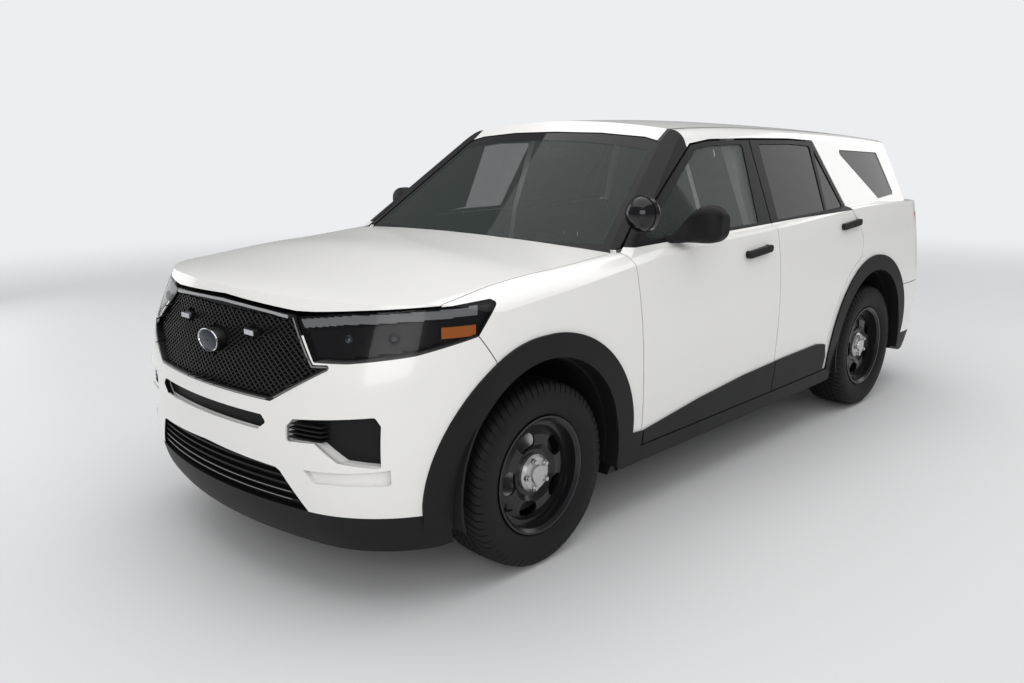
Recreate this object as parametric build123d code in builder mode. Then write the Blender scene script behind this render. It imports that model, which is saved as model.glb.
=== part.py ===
from build123d import *
import math
import os

os.makedirs("parts", exist_ok=True)

# Sizes in millimetres. The front looks along -Y, the car's left side is +X, and Z is up from the floor.
wheelbase = 3025
front_axle_y = -1610
rear_axle_y = front_axle_y + wheelbase
wheel_x = 850.5
tyre_r = 381.6
rim_flange_r = 242
arch_cut_r = 470
arch_trim_r = 552
arch_spread = 20
arch_z = 408
wall_t = 60
frame_t = 24
glass_in = 4
glass_t = 5
trim_out = 11
seat_gap = 0.3
panel_gap = 5
door_gap = 7
frame_gap = 10
belt_z = 1232
door_low_z = 345
door_axis_x = 978
door_axis_in = 60
hood_axis_y = -1044
hood_axis_z = 1188
gate_axis_y = 2196
gate_pin_y = 2192.5
gate_pin_z = 1677
spindle_r = 30
spindle_clear = 0.05
disc_r = 172
kingpin_x = 792
kingpin_r = 16

# Body outline at each height: z, front y, half width, rear y.
plan_levels = [
    (205, -2430, 925, 2430),
    (330, -2497, 954, 2490),
    (480, -2519, 974, 2520),
    (680, -2524.5, 988, 2524.5),
    (880, -2492, 991, 2492),
    (1070, -2412, 979, 2452),
    (1300, -2330, 938, 2405),
]
nose_r = 2300
nose_x = 560
tail_r = 3500
tail_x = 650
tail_top_x = 420
side_bulge = 10

# Crown of the hood and of the shoulder: y, shoulder z, centre z, shoulder x, corner radius.
crown_stations = [
    (-2640, 1010, 1032, 850, 165),
    (-2500, 1072, 1098, 850, 165),
    (-2400, 1098, 1130, 850, 165),
    (-2250, 1120, 1158, 852, 163),
    (-1900, 1152, 1196, 856, 160),
    (-1450, 1182, 1228, 866, 150),
    (-1000, 1208, 1252, 885, 130),
    (-400, 1228, 1262, 900, 116),
    (600, 1250, 1280, 905, 112),
    (1500, 1274, 1300, 900, 116),
    (2600, 1286, 1310, 880, 130),
]

# Roof and side glass: y, half width at z 1150, half width at the roof edge, edge z, centre z.
roof_stations = [
    (-1500, 960, 712, 1690, 1742),
    (-300, 966, 716, 1712, 1767),
    (100, 967, 718, 1716, 1772),
    (850, 966, 716, 1698, 1753),
    (1450, 956, 710, 1672, 1727),
    (1950, 930, 696, 1642, 1696),
    (2500, 880, 676, 1596, 1648),
]
roof_edge_r = 92
glass_bow_r = 2600
glass_foot_y = -1185
glass_foot_z = 1196
glass_lean = 1.45
tail_lean = -0.42
tail_foot_y = 2408
tail_foot_z = 1290


corner_plane = Plane(origin=(0, 0, 0), x_dir=(1, 1, 0), z_dir=(1, -1, 0))


def bow_outline(yf, w, yr, t, tx=tail_x):
    """Draws a closed plan outline: a front bow, two corners, two sides, two corners and a rear bow."""
    rf = nose_r - t
    rr = tail_r - t
    wt = w - t
    sf = nose_x / nose_r
    sr = tx / tail_r
    xf = rf * sf
    xr = rr * sr
    cf = (wt - xf) / (1 - sf)
    cr = (wt - xr) / (1 - sr)
    nf = math.sqrt(1 - sf * sf)
    nr = math.sqrt(1 - sr * sr)
    y0 = yf + t + rf
    y1 = yr - t - rr
    yb = y0 - rf * nf
    ye = y1 + rr * nr
    fcx, fcy = xf - cf * sf, yb + cf * nf
    rcx, rcy = xr - cr * sr, ye - cr * nr
    af = (math.atan2(-nf, sf)) / 2
    ar = (math.atan2(nr, sr)) / 2
    with BuildLine() as line:
        ThreePointArc((-xf, yb), (0, yf + t), (xf, yb))
        ThreePointArc((xf, yb), (fcx + cf * math.cos(af), fcy + cf * math.sin(af)), (wt, fcy))
        ThreePointArc((wt, fcy), (wt + side_bulge, (fcy + rcy) / 2), (wt, rcy))
        ThreePointArc((wt, rcy), (rcx + cr * math.cos(ar), rcy + cr * math.sin(ar)), (xr, ye))
        ThreePointArc((xr, ye), (0, yr - t), (-xr, ye))
        ThreePointArc((-xr, ye), (-rcx - cr * math.cos(ar), rcy + cr * math.sin(ar)), (-wt, rcy))
        ThreePointArc((-wt, rcy), (-wt - side_bulge, (fcy + rcy) / 2), (-wt, fcy))
        ThreePointArc((-wt, fcy), (-fcx - cf * math.cos(af), fcy + cf * math.sin(af)), (-xf, yb))
    return line.edges()


def crown_outline(zs, zc, xs, r, t):
    """Draws a closed cross section: two upright sides, two round shoulders and a crown between them."""
    h = zc - zs
    big = (xs * xs + h * h) / (2 * h)
    s = xs / big
    c = math.sqrt(1 - s * s)
    rt = r - t
    big_t = big - t
    px, pz = big_t * s, zc - big + big_t * c
    cx, cz = xs - r * s, zs - r * c
    a = (math.pi / 2 - math.asin(s)) / 2
    side = cx + rt
    with BuildLine() as line:
        Line((-side, 100), (side, 100))
        Line((side, 100), (side, cz))
        ThreePointArc((side, cz), (cx + rt * math.cos(a), cz + rt * math.sin(a)), (px, pz))
        ThreePointArc((px, pz), (0, zc - t), (-px, pz))
        ThreePointArc((-px, pz), (-cx - rt * math.cos(a), cz + rt * math.sin(a)), (-side, cz))
        Line((-side, cz), (-side, 100))
    return line.edges()


def roof_loft(t):
    """The side glass and roof as one long body, not yet cut at the windshield and the rear glass."""
    with BuildPart() as p:
        for y, xb, xt, ze, zc in roof_stations:
            with BuildSketch(Plane.XZ.offset(-y)) as s:
                with BuildLine():
                    Polyline((xt - t, ze - t), (xb - t, 1150), (-xb + t, 1150), (-xt + t, ze - t))
                    ThreePointArc((-xt + t, ze - t), (0, zc - t), (xt - t, ze - t))
                make_face()
                fillet(s.vertices().sort_by(Axis.Y)[-2:], roof_edge_r - t / 2)
        loft()
    return p.part


def lower_body(t):
    """The body below the glass, every wall moved inward by t."""
    with BuildPart() as low:
        for z, yf, w, yr in plan_levels:
            with BuildSketch(Plane.XY.offset(z)):
                make_face(bow_outline(yf, w, yr, t))
        loft()
        for y, zs, zc, xs, r in crown_stations:
            with BuildSketch(Plane.XZ.offset(-y)):
                make_face(crown_outline(zs, zc, xs, max(r, t + 8), t))
        loft(mode=Mode.INTERSECT)
    return low.part


def upper_body(t):
    """The cabin above the belt, every wall moved inward by t."""
    with BuildPart() as up:
        add(roof_loft(t))
        low_z = 1100
        rise = 800
        yc = glass_foot_y + (low_z - glass_foot_z) * glass_lean + t * math.hypot(1, glass_lean)
        sag = glass_bow_r - math.sqrt(glass_bow_r**2 - 1300**2)
        with BuildSketch(Plane.XY.offset(low_z)):
            with BuildLine():
                ThreePointArc((1300, yc + sag), (0, yc), (-1300, yc + sag))
                Polyline((-1300, yc + sag), (-1300, 4500), (1300, 4500), (1300, yc + sag))
            make_face()
        extrude(
            amount=rise * math.hypot(1, glass_lean), dir=(0, glass_lean, 1), mode=Mode.INTERSECT
        )
        for z, w in ((low_z, 1010), (low_z + rise, 690)):
            ye = tail_foot_y + (z - tail_foot_z) * tail_lean - t * math.hypot(1, tail_lean)
            with BuildSketch(Plane.XY.offset(z)):
                make_face(bow_outline(-3000 - t, w, ye + t, t, tail_top_x))
        loft(ruled=True, mode=Mode.INTERSECT)
    return up.part


def shape(t):
    """The whole closed body, every wall moved inward by t."""
    with BuildPart() as whole:
        add(lower_body(t))
        add(upper_body(t))
    return whole.part


def level(z):
    """Front y, half width and rear y of the body outline at a height between two levels."""
    for (z0, *low), (z1, *high) in zip(plan_levels, plan_levels[1:]):
        if z0 <= z <= z1:
            k = (z - z0) / (z1 - z0)
            return [a + k * (b - a) for a, b in zip(low, high)]


def nose_band(z0, z1, t0, t1):
    """A band that follows the body outline from z0 to z1, between depths t0 and t1 under the skin."""
    with BuildPart() as p:
        for z in (z0, z1):
            with BuildSketch(Plane.XY.offset(z)):
                make_face(bow_outline(*level(z), t0))
        loft(ruled=True)
        for z in (z0, z1):
            with BuildSketch(Plane.XY.offset(z)):
                make_face(bow_outline(*level(z), t1))
        loft(ruled=True, mode=Mode.SUBTRACT)
        split(bisect_by=Plane.XZ.offset(1700), keep=Keep.TOP)
    return p.part


def side_prism(points, x0=200, x1=1400, r=0, grow=0):
    """A block seen from the car's left side: points are (y, z)."""
    with BuildPart() as p:
        with BuildSketch(Plane.YZ.offset(x0)) as s:
            with BuildLine():
                Polyline(*points, close=True)
            make_face()
            if r:
                fillet(s.vertices(), r)
            if grow:
                offset(amount=grow, mode=Mode.REPLACE)
        extrude(amount=x1 - x0)
    return p.part


def front_prism(points, y0, y1, r=0, grow=0):
    """A block seen from the front: points are (x, z), from y0 back to y1."""
    with BuildPart() as p:
        with BuildSketch(Plane.XZ.offset(-y1)) as s:
            with BuildLine():
                Polyline(*points, close=True)
            make_face()
            if r:
                fillet(s.vertices(), r)
            if grow:
                offset(amount=grow, mode=Mode.REPLACE)
        extrude(amount=y1 - y0)
    return p.part


def plan_prism(points, z0, z1, r=0, grow=0):
    """A block seen from above: points are (x, y)."""
    with BuildPart() as p:
        with BuildSketch(Plane.XY.offset(z0)) as s:
            with BuildLine():
                Polyline(*points, close=True)
            make_face()
            if r:
                fillet(s.vertices(), r)
            if grow:
                offset(amount=grow, mode=Mode.REPLACE)
        extrude(amount=z1 - z0)
    return p.part


def both(points):
    """A mirror-symmetric polygon from its left half, which runs from the top centre to the bottom centre."""
    return points + [(-x, z) for x, z in reversed(points) if x > 0]


def corner_prism(points, r=8, grow=0):
    """A block seen from the front left corner: points are (s, z), where s is (x + y) / sqrt 2."""
    with BuildPart() as p:
        with BuildSketch(corner_plane.offset(1600)) as s:
            with BuildLine():
                Polyline(*points, close=True)
            make_face()
            fillet(s.vertices(), r)
            if grow:
                offset(amount=grow, mode=Mode.REPLACE)
        extrude(amount=1400)
    return p.part


def mirrored(part):
    """The same piece on the car's right side."""
    with BuildPart() as p:
        mirror(part, about=Plane.YZ)
    return p.part


def merge(*parts):
    """Several blocks as one."""
    with BuildPart() as p:
        for one in parts:
            add(one)
    return p.part


def axle_disc(y, z, r, x0, x1):
    """A cylinder along X."""
    with BuildPart() as p:
        with Locations(Location(((x0 + x1) / 2, y, z), (0, 90, 0))):
            Cylinder(r, x1 - x0)
    return p.part


def upright(x, y, r, z0, z1):
    """A cylinder along Z."""
    with BuildPart() as p:
        with Locations((x, y, (z0 + z1) / 2)):
            Cylinder(r, z1 - z0)
    return p.part


def block(x0, x1, y0, y1, z0, z1):
    with BuildPart() as p:
        with Locations(((x0 + x1) / 2, (y0 + y1) / 2, (z0 + z1) / 2)):
            Box(x1 - x0, y1 - y0, z1 - z0)
    return p.part


def carve(stock, region, *less):
    """The part of a wall that lies in a region, less some blocks."""
    with BuildPart() as p:
        add(stock)
        add(region, mode=Mode.INTERSECT)
        for one in less:
            add(one, mode=Mode.SUBTRACT)
    return p.part


# Seen from the left side, as (y, z). The doors meet at split_y below the glass and lean back above it.
split_y = 205
split_top_y = 258
door_top_z = 1662
half = door_gap / 2
half_up = frame_gap / 2
front_door_low = [
    (-1029, belt_z),
    (-991, 800),
    (-957, 430),
    (-950, door_low_z),
    (split_y - half, door_low_z),
    (split_y - half, belt_z),
]
front_door_up = [
    (-1004, belt_z - 3),
    (-1004, belt_z + 4),
    (-300, 1644),
    (-120, door_top_z),
    (split_top_y - half_up, door_top_z),
    (split_y - half_up, belt_z - 3),
]
door_arc_r = 602


def arch_arc(y, r, steps):
    """Points on a circle about a wheel arch, for a few given angles."""
    return [
        (y + r * math.cos(math.radians(a)), arch_z + r * math.sin(math.radians(a))) for a in steps
    ]


rear_door_low = (
    [(split_y + half, belt_z), (1120, belt_z), (1190, 1165), (1228, 1080)]
    + arch_arc(rear_axle_y, door_arc_r, (110, 120, 130, 140, 150, 160, 170, 180))
    + [(rear_axle_y - door_arc_r + 4, door_low_z), (split_y + half, door_low_z)]
)
rear_door_up = [
    (split_y + half_up, belt_z - 3),
    (split_top_y + half_up, door_top_z),
    (700, 1655),
    (985, 1640),
    (1112, 1270),
    (1120, belt_z - 3),
]
front_window = [(-902, 1249), (-262, 1626), (-120, 1640), (176, 1641), (80, 1249)]
rear_window = [(345, 1639), (700, 1634), (928, 1618), (838, 1262), (284, 1251)]
rear_vent = [(962, 1600), (1072, 1284), (1066, 1270), (864, 1262)]
quarter_window = [(1262, 1592), (1905, 1560), (1935, 1296), (1640, 1284)]
side_line = [(-955, 410), (-500, 468), (-107, 500), (300, 516), (690, 522), (790, 505)]

# Seen from the front, as (x, z), right half from top to bottom.
grille_half = [(0, 1092), (440, 1076), (590, 922), (684, 928), (418, 772), (0, 772)]
slot_half = [(0, 716), (372, 716), (398, 690), (350, 656), (0, 656)]
intake_half = [(0, 542), (430, 524), (450, 514), (572, 360), (0, 360)]
fog_pocket = [
    (496, 636),
    (498, 692),
    (530, 724),
    (814, 754),
    (830, 722),
    (826, 566),
    (701, 582),
    (616, 646),
]
fog_recess = [
    (452, 640),
    (452, 700),
    (510, 742),
    (826, 772),
    (852, 730),
    (846, 500),
    (603, 492),
    (560, 548),
]
nose_line = [(0, 1104), (440, 1086), (520, 1090), (700, 1106), (868, 1118), (1100, 1128)]
# Seen from the front left corner, as ((x + y) / sqrt 2, z).
lamp_corner = [
    (-1352, 1072),
    (-1160, 1100),
    (-960, 1112),
    (-655, 1124),
    (-632, 1112),
    (-700, 1006),
    (-916, 960),
    (-1150, 934),
    (-1278, 930),
]
skin = shape(0)
deep = shape(wall_t)
framed = shape(frame_t)
with BuildPart() as wall_part:
    add(skin)
    add(deep, mode=Mode.SUBTRACT)
wall = wall_part.part
with BuildPart() as cover_part:
    add(skin)
    add(framed, mode=Mode.SUBTRACT)
cover = cover_part.part
with BuildPart() as pane_part:
    add(upper_body(glass_in))
    add(upper_body(glass_in + glass_t), mode=Mode.SUBTRACT)
pane = pane_part.part
layer_inner = lower_body(-seat_gap)
with BuildPart() as layer_part:
    add(lower_body(-trim_out))
    add(layer_inner, mode=Mode.SUBTRACT)
layer = layer_part.part
with BuildPart() as inner_part:
    add(deep)
    scale(by=(0.9996, 0.9998, 0.9997), mode=Mode.REPLACE)
inner = inner_part.part
cabin_skin = upper_body(-seat_gap)


def stock(part, *box):
    """The part of a wall inside a box, so that later cuts are quick."""
    return carve(part, block(*box))


side_box = (300, 1300, -2700, 2700, 0, 2000)
nose_box = (-1300, 1300, -2700, -1700, 0, 1300)
tail_box = (-1300, 1300, 1650, 2700, 0, 2000)
wall_left = stock(wall, *side_box)
cover_left = stock(cover, *side_box)
wall_nose = stock(wall, *nose_box)
cover_nose = stock(cover, *nose_box)
wall_tail = stock(wall, *tail_box)
layer_left = stock(layer, 800, 1200, -2700, 2700, 0, 1200)

nodes = {}


def keep(name, part, mirror_name=None):
    """Labels a piece for export, and its mirror image if that has a name."""
    part.label = name
    nodes[name] = part
    if mirror_name:
        other = mirrored(part)
        other.label = mirror_name
        nodes[mirror_name] = other


door_zone_f = side_prism(front_door_low, grow=door_gap)
door_zone_fu = side_prism(front_door_up, grow=frame_gap)
door_zone_r = side_prism(rear_door_low, grow=door_gap)
door_zone_ru = side_prism(rear_door_up, grow=frame_gap)
axis_f = -1029 + 99
axis_r = split_y + half + door_axis_in
hood_side_x = 862
hood_plan = [
    (0, -2650),
    (hood_side_x + 70, -2650),
    (hood_side_x + 40, -2150),
    (hood_side_x + 5, -1800),
    (hood_side_x, -1062),
    (600, -1108),
    (300, -1143),
    (0, -1152),
]
hood_both = hood_plan + [(-x, y) for x, y in reversed(hood_plan[1:-1])]
hood_zone = plan_prism(hood_both, 900, 1400)
hood_zone_g = plan_prism(hood_both, 900, 1400, grow=panel_gap)
nose_edge = [(-x, z) for x, z in reversed(nose_line)] + nose_line[1:]
above_nose = front_prism(nose_edge + [(1100, 1300), (-1100, 1300)], -2700, -1700)
nose_zone_g = front_prism(
    [(x, z + panel_gap) for x, z in nose_edge] + [(1100, 200), (-1100, 200)],
    -2700,
    -1700,
)
lamp_zone = corner_prism(lamp_corner)
lamp_zone_g = corner_prism(lamp_corner, grow=3)
lamp_seat = corner_prism(lamp_corner, grow=seat_gap)
lamp_seats = merge(lamp_seat, mirrored(lamp_seat))
lamp_far = corner_prism(lamp_corner, grow=6)
lamps_far = merge(lamp_far, mirrored(lamp_far))
arch_f = axle_disc(front_axle_y, arch_z, arch_cut_r, 560, 1100)
arch_r = axle_disc(rear_axle_y, arch_z, arch_cut_r, 560, 1100)

glass_top = [(0, 1712), (300, 1706), (560, 1686), (640, 1668)]
windshield_half = glass_top + [(660, 1655), (834, 1190), (780, 1150), (0, 1150)]
shield_zone = front_prism(both(windshield_half), -1500, -300)
pillar_zone = front_prism(both(windshield_half), -1500, -300, grow=40)
pillar_far = front_prism(both(windshield_half), -1500, -300, grow=50)

# Door hinges: a bracket on the body carries a pin that stands up into the door.
hinge_levels = (660, 920)
hinge_pin_r = 6
hinge_boss_r = 10
door_pockets = {}
door_hinges = {}
for end, pin_y, root in (
    ("front", axis_f, (806, 842, -1010, axis_f + 26)),
    ("rear", axis_r, (858, 900, 180, axis_r + 26)),
):
    cuts, arms = [], []
    for z0 in hinge_levels:
        cuts.append(block(860, door_axis_x + 12, pin_y - 110, pin_y + 36, z0 - 6, z0 + 28))
        cuts.append(upright(door_axis_x, pin_y, hinge_pin_r + 0.05, z0 + 20, z0 + 54))
        arms.append(block(*root, z0, z0 + 22))
        arms.append(block(root[0] + 14, door_axis_x, pin_y + 3, pin_y + 26, z0, z0 + 22))
        arms.append(upright(door_axis_x, pin_y, hinge_boss_r, z0, z0 + 22))
        arms.append(upright(door_axis_x, pin_y, hinge_pin_r, z0, z0 + 52))
    door_pockets[end] = merge(*cuts)
    door_hinges[end] = merge(*arms)
# The front door's upper inner corner swings through here.
sweep_f = merge(
    carve(upright(door_axis_x, axis_f, 149, 1100, 1223), block(838, 1100, -1030, -912, 1000, 1300)),
    carve(upright(door_axis_x, axis_f, 128, 1100, 1223), block(838, 1100, -914, -800, 1000, 1300)),
    carve(upright(door_axis_x, axis_f, 132, 1220, 1239), block(851, 1100, -1030, -800, 1000, 1300)),
)
hood_bracket = merge(
    block(836.5, 842.5, hood_axis_y - 12, -1012, hood_axis_z - 12, hood_axis_z + 12),
    axle_disc(hood_axis_y, hood_axis_z, 6, 838, 857),
)
hood_arm_side = [
    (-1120, 1190),
    (-1068, 1190),
    (hood_axis_y, 1198),
    (hood_axis_y, 1178),
    (-1120, 1160),
]
with BuildPart() as hood_arm_part:
    add(side_prism(hood_arm_side, x0=847.5, x1=857.5))
    add(axle_disc(hood_axis_y, hood_axis_z, 12, 847.5, 857.5))
    add(axle_disc(hood_axis_y, hood_axis_z, 6.05, 840, 865), mode=Mode.SUBTRACT)
hood_arm = hood_arm_part.part
gate_cut = axle_disc(gate_pin_y, gate_pin_z, 11, 55, 81)
roof_cut = axle_disc(gate_pin_y, gate_pin_z, 11, 80, 106)
roof_knuckle = merge(
    block(60, 78, 2160, 2189, 1664, 1680),
    axle_disc(gate_pin_y, gate_pin_z, 6, 60, 78),
    axle_disc(gate_pin_y, gate_pin_z, 3, 70, 98),
)
with BuildPart() as gate_knuckle_part:
    add(block(83, 101, 2197, 2225, 1662, 1680))
    add(axle_disc(gate_pin_y, gate_pin_z, 6, 83, 101))
    add(axle_disc(gate_pin_y, gate_pin_z, 3.05, 80, 104), mode=Mode.SUBTRACT)
gate_knuckle = gate_knuckle_part.part

# Doors.
lower = carve(wall_left, side_prism(front_door_low, x0=858), pillar_far)
upper = carve(
    cover_left, side_prism(front_door_up), side_prism(front_window, r=18), pillar_far
)
keep(
    "door_front_left",
    carve(merge(lower, upper), block(300, 1300, -1200, 900, 300, 1700), door_pockets["front"]),
    "door_front_right",
)
lower = carve(wall_left, side_prism(rear_door_low, x0=858))
upper = carve(
    cover_left, side_prism(rear_door_up), side_prism(rear_window, r=14), side_prism(rear_vent, r=5)
)
keep(
    "door_rear_left",
    carve(merge(lower, upper), block(300, 1300, 0, 1500, 300, 1700), door_pockets["rear"]),
    "door_rear_right",
)
keep(
    "glass_front_left",
    carve(pane, side_prism(front_window, r=18, grow=-seat_gap)),
    "glass_front_right",
)
keep(
    "glass_rear_left",
    merge(
        carve(pane, side_prism(rear_window, r=14, grow=-seat_gap)),
        carve(pane, side_prism(rear_vent, r=5, grow=-seat_gap)),
    ),
    "glass_rear_right",
)

# Body sides: quarter panel, sill, pillars and roof rail.
gate_half = [
    (0, 1760),
    (560, 1760),
    (600, 1640),
    (652, 1560),
    (752, 1300),
    (808, 1180),
    (812, 715),
    (0, 690),
]
gate_all = both(gate_half)
gate_zone = front_prism(gate_all, gate_axis_y, 2700)
gate_zone_g = front_prism(gate_all, gate_axis_y - 7, 2700, grow=8)
rear_lamp_side = [(2052, 1168), (2150, 1184), (2600, 1184), (2600, 965), (2210, 958)]
rear_lamp_zone = side_prism(rear_lamp_side, x0=500, r=6)
rear_lamp_zone_g = side_prism(rear_lamp_side, x0=500, r=6, grow=seat_gap)
bumper_r_side = [(1700, 715), (2600, 715), (2600, 372), (1700, 372)]
bumper_r_zone = side_prism(bumper_r_side, x0=-1300, x1=1300)
ditch_x = 646
ditch_w = 18
side_region = side_prism(
    [(-952, 252), (-950, 430), (-985, 800), (-1020, 1150), (-1020, 1207)]
    + [(-1020, 1900), (2700, 1900), (2700, 721), (1700, 721), (1500, 252)]
)
post_b = front_prism(
    [
        (852, 318.3),
        (903, 318.3),
        (903, 1000),
        (854, 1205),
        (850, 1240),
        (700, 1640),
        (690, 1690),
        (650, 1690),
        (655, 1640),
        (815, 1232),
        (852, 1000),
    ],
    118,
    188,
)
post_a = merge(
    block(790, 842, -1040, -1004, 318.3, 1150),
    block(790, 838, -1020, -985, 1100, 1205),
    block(800, 878, -1040, -930, 318.3, 336),
    block(860, 905, -950, -930, 318.3, 336),
)
with BuildPart() as front_door_cut:
    add(door_zone_f)
    add(door_zone_fu)
    add(pillar_zone, mode=Mode.SUBTRACT)
side_left = carve(
    wall_left,
    side_region,
    block(200, ditch_x + ditch_w / 2, -2000, 2700, 1500, 1900),
    shield_zone,
    front_door_cut.part,
    merge(door_zone_r, door_zone_ru),
    sweep_f,
    arch_r,
    gate_zone_g,
    rear_lamp_zone_g,
    hood_zone_g,
    side_prism(quarter_window, r=20),
)
with BuildPart() as side_posts:
    add(side_left)
    add(post_b)
    add(post_a)
    add(door_hinges["front"])
    add(door_hinges["rear"])
    add(hood_bracket)
keep("body_side_left", side_posts.part, "body_side_right")
quarter_pane = carve(pane, side_prism(quarter_window, r=20, grow=-seat_gap))
keep("quarter_glass", merge(quarter_pane, mirrored(quarter_pane)))

# Fenders, hood and nose.
seam = [(-1960, 1012), (-1888, 905), (-1885, 372), (-2750, 372), (-2750, 1012)]
seam_zone = side_prism(seam, x0=-1300, x1=1300)
seam_zone_g = side_prism(seam, x0=-1300, x1=1300, grow=panel_gap)
keep(
    "fender_left",
    carve(
        wall_left,
        side_prism(
            [(-2420, 1000), (-2420, 1400), (-1036, 1400), (-1036, 1236), (-998, 800), (-964, 430)]
            + [(-957, 252), (-1500, 252), (-1990, 600), (-1990, 1000)]
        ),
        hood_zone_g,
        seam_zone_g,
        lamp_zone_g,
        block(0, 400, -3000, -1900, 0, 1400),
        arch_f,
        block(200, 867, -1160, -900, 1000, 1500),
    ),
    "fender_right",
)
hood_shell = carve(
    carve(cover, hood_zone), block(-1300, 1300, -2700, -1000, 900, 1500), nose_zone_g, lamps_far
)
keep("hood", merge(hood_shell, hood_arm, mirrored(hood_arm)))
fog_hole = front_prism(fog_pocket, -2700, -2000, r=9)
bumper_holes = merge(
    front_prism(both(slot_half), -2700, -2200, r=10),
    front_prism(both(intake_half), -2700, -2200, r=10),
    fog_hole,
    mirrored(fog_hole),
)
recess_band = nose_band(480, 790, -6, 13)
fog_dip = carve(recess_band, front_prism(fog_recess, -2700, -2000, r=16))
slot_dip = carve(recess_band, front_prism(both(slot_half), -2700, -2200, r=10, grow=15))
keep(
    "front_bumper",
    carve(
        wall_nose,
        seam_zone,
        front_prism(both(grille_half), -2700, -2000, r=10, grow=seat_gap),
        above_nose,
        lamp_seats,
        bumper_holes,
        fog_dip,
        mirrored(fog_dip),
        slot_dip,
        arch_f,
        mirrored(arch_f),
    ),
)
lamp = carve(wall_nose, lamp_zone, block(-50, 1300, -1856, 0, 0, 2000))
keep("headlamps", merge(lamp, mirrored(lamp)))

# Dark inserts behind the bumper's openings, with fins and slats at the skin.
inset = 0.3
fog_zone = front_prism(fog_pocket, -2700, -2000, r=9, grow=-inset)
slot_zone = front_prism(both(slot_half), -2700, -2200, r=10, grow=-inset)
intake_zone = front_prism(both(intake_half), -2700, -2200, r=10, grow=-inset)
fin_low_z = 372.3
# Slats as z from, z to; then the depths between which the plate behind them lies.
fog_fins = [(648, 654), (665, 671), (682, 688), (699, 705)]
intake_slats = [(398, 406), (428, 436), (458, 466), (488, 496), (516, 524)]
insert_table = [
    (slot_zone, [], -700, 700, 656, 716, 26, 56),
    (intake_zone, intake_slats, -700, 700, fin_low_z, 543, 26, 56),
    (fog_zone, fog_fins, 480, 640, 560, 760, 40, 58),
]
inserts = []
for zone, slats, x0, x1, z0, z1, near, far in insert_table:
    insert = carve(nose_band(z0, z1, near, far), zone)
    if slats:
        across = merge(*[block(x0, x1, -2700, -2000, *slat) for slat in slats])
        insert = merge(insert, carve(nose_band(z0, z1, 5, near + 4), carve(zone, across)))
    inserts.append(insert)
keep("front_inserts", merge(*inserts, mirrored(inserts[2])))

# Grille: a rim at the skin, a plate behind it, a round blank badge and two lamps.
grille_zone = front_prism(both(grille_half), -2700, -2000, r=10)
grille_hole = front_prism(both(grille_half), -2700, -2000, r=10, grow=-13)
badge_z = 936
with BuildPart() as badge:
    with BuildSketch(Plane.XZ.offset(2480)):
        with Locations((0, badge_z)):
            Ellipse(76, 46)
    extrude(amount=-70)
grille_lamp = block(212, 278, -2460, -2395, 984, 1007)
grille_lamps = merge(grille_lamp, mirrored(grille_lamp))
keep(
    "grille",
    merge(
        carve(nose_band(765, 1098, 20, 52), grille_zone, lamps_far),
        carve(cover_nose, grille_zone, grille_hole, lamps_far),
        badge.part,
        carve(grille_lamps, skin),
    ),
)

# Lower front valance, rear bumper, rear valance and tail lamps.
valance_side = [(-2750, 371.7), (-1885, 371.7), (-1885, 262), (-2100, 222), (-2750, 222)]
keep(
    "front_valance",
    carve(wall_nose, side_prism(valance_side, x0=-1300, x1=1300), arch_f, mirrored(arch_f)),
)
keep(
    "rear_bumper",
    carve(wall_tail, bumper_r_zone, arch_r, mirrored(arch_r), gate_zone_g),
)
valance_r_side = [(2750, 371.7), (1800, 371.7), (1800, 300), (2050, 240), (2750, 240)]
keep(
    "rear_valance",
    carve(wall_tail, side_prism(valance_r_side, x0=-1300, x1=1300), arch_r, mirrored(arch_r)),
)
rear_lamp = carve(wall_tail, rear_lamp_zone, gate_zone_g)
keep("tail_lamps", merge(rear_lamp, mirrored(rear_lamp)))

# Tailgate with its spoiler, and the rear glass.
rear_window_half = [(0, 1578), (520, 1566), (560, 1540), (672, 1318), (640, 1300), (0, 1300)]
rear_hole = front_prism(both(rear_window_half), 2100, 2700, r=12)
rear_fill = front_prism(both(rear_window_half), 2100, 2700, r=12, grow=-seat_gap)
spoiler_side = [
    (gate_axis_y + 0.5, 1760),
    (2345, 1690),
    (2338, 1615),
    (2290, 1618),
    (gate_axis_y + 0.5, 1640),
]
with BuildPart() as roof_shell:
    add(roof_loft(0))
    add(roof_loft(34), mode=Mode.SUBTRACT)
spoiler = carve(roof_shell.part, side_prism(spoiler_side, x0=-596, x1=596))
plate_z = 902
plate_pitch = 177.8
plate_hole_r = 3.5
gate = merge(carve(wall_tail, gate_zone, rear_hole), spoiler)
gate = carve(gate, block(-1300, 1300, 2000, 2700, 600, 1900), gate_cut, mirrored(gate_cut))
with BuildPart() as gate_part:
    add(gate)
    add(gate_knuckle)
    add(mirrored(gate_knuckle))
    add(block(-170, 170, 2440, 2497, 812, 992))
    for plate_x in (-plate_pitch / 2, plate_pitch / 2):
        with Locations(Location((plate_x, 2460, plate_z), (90, 0, 0))):
            Cylinder(plate_hole_r, 120, mode=Mode.SUBTRACT)
keep("tailgate", gate_part.part)
keep("tailgate_glass", carve(pane, rear_fill, block(-1300, 1300, 0, gate_axis_y + 4, 0, 2000)))

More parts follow.
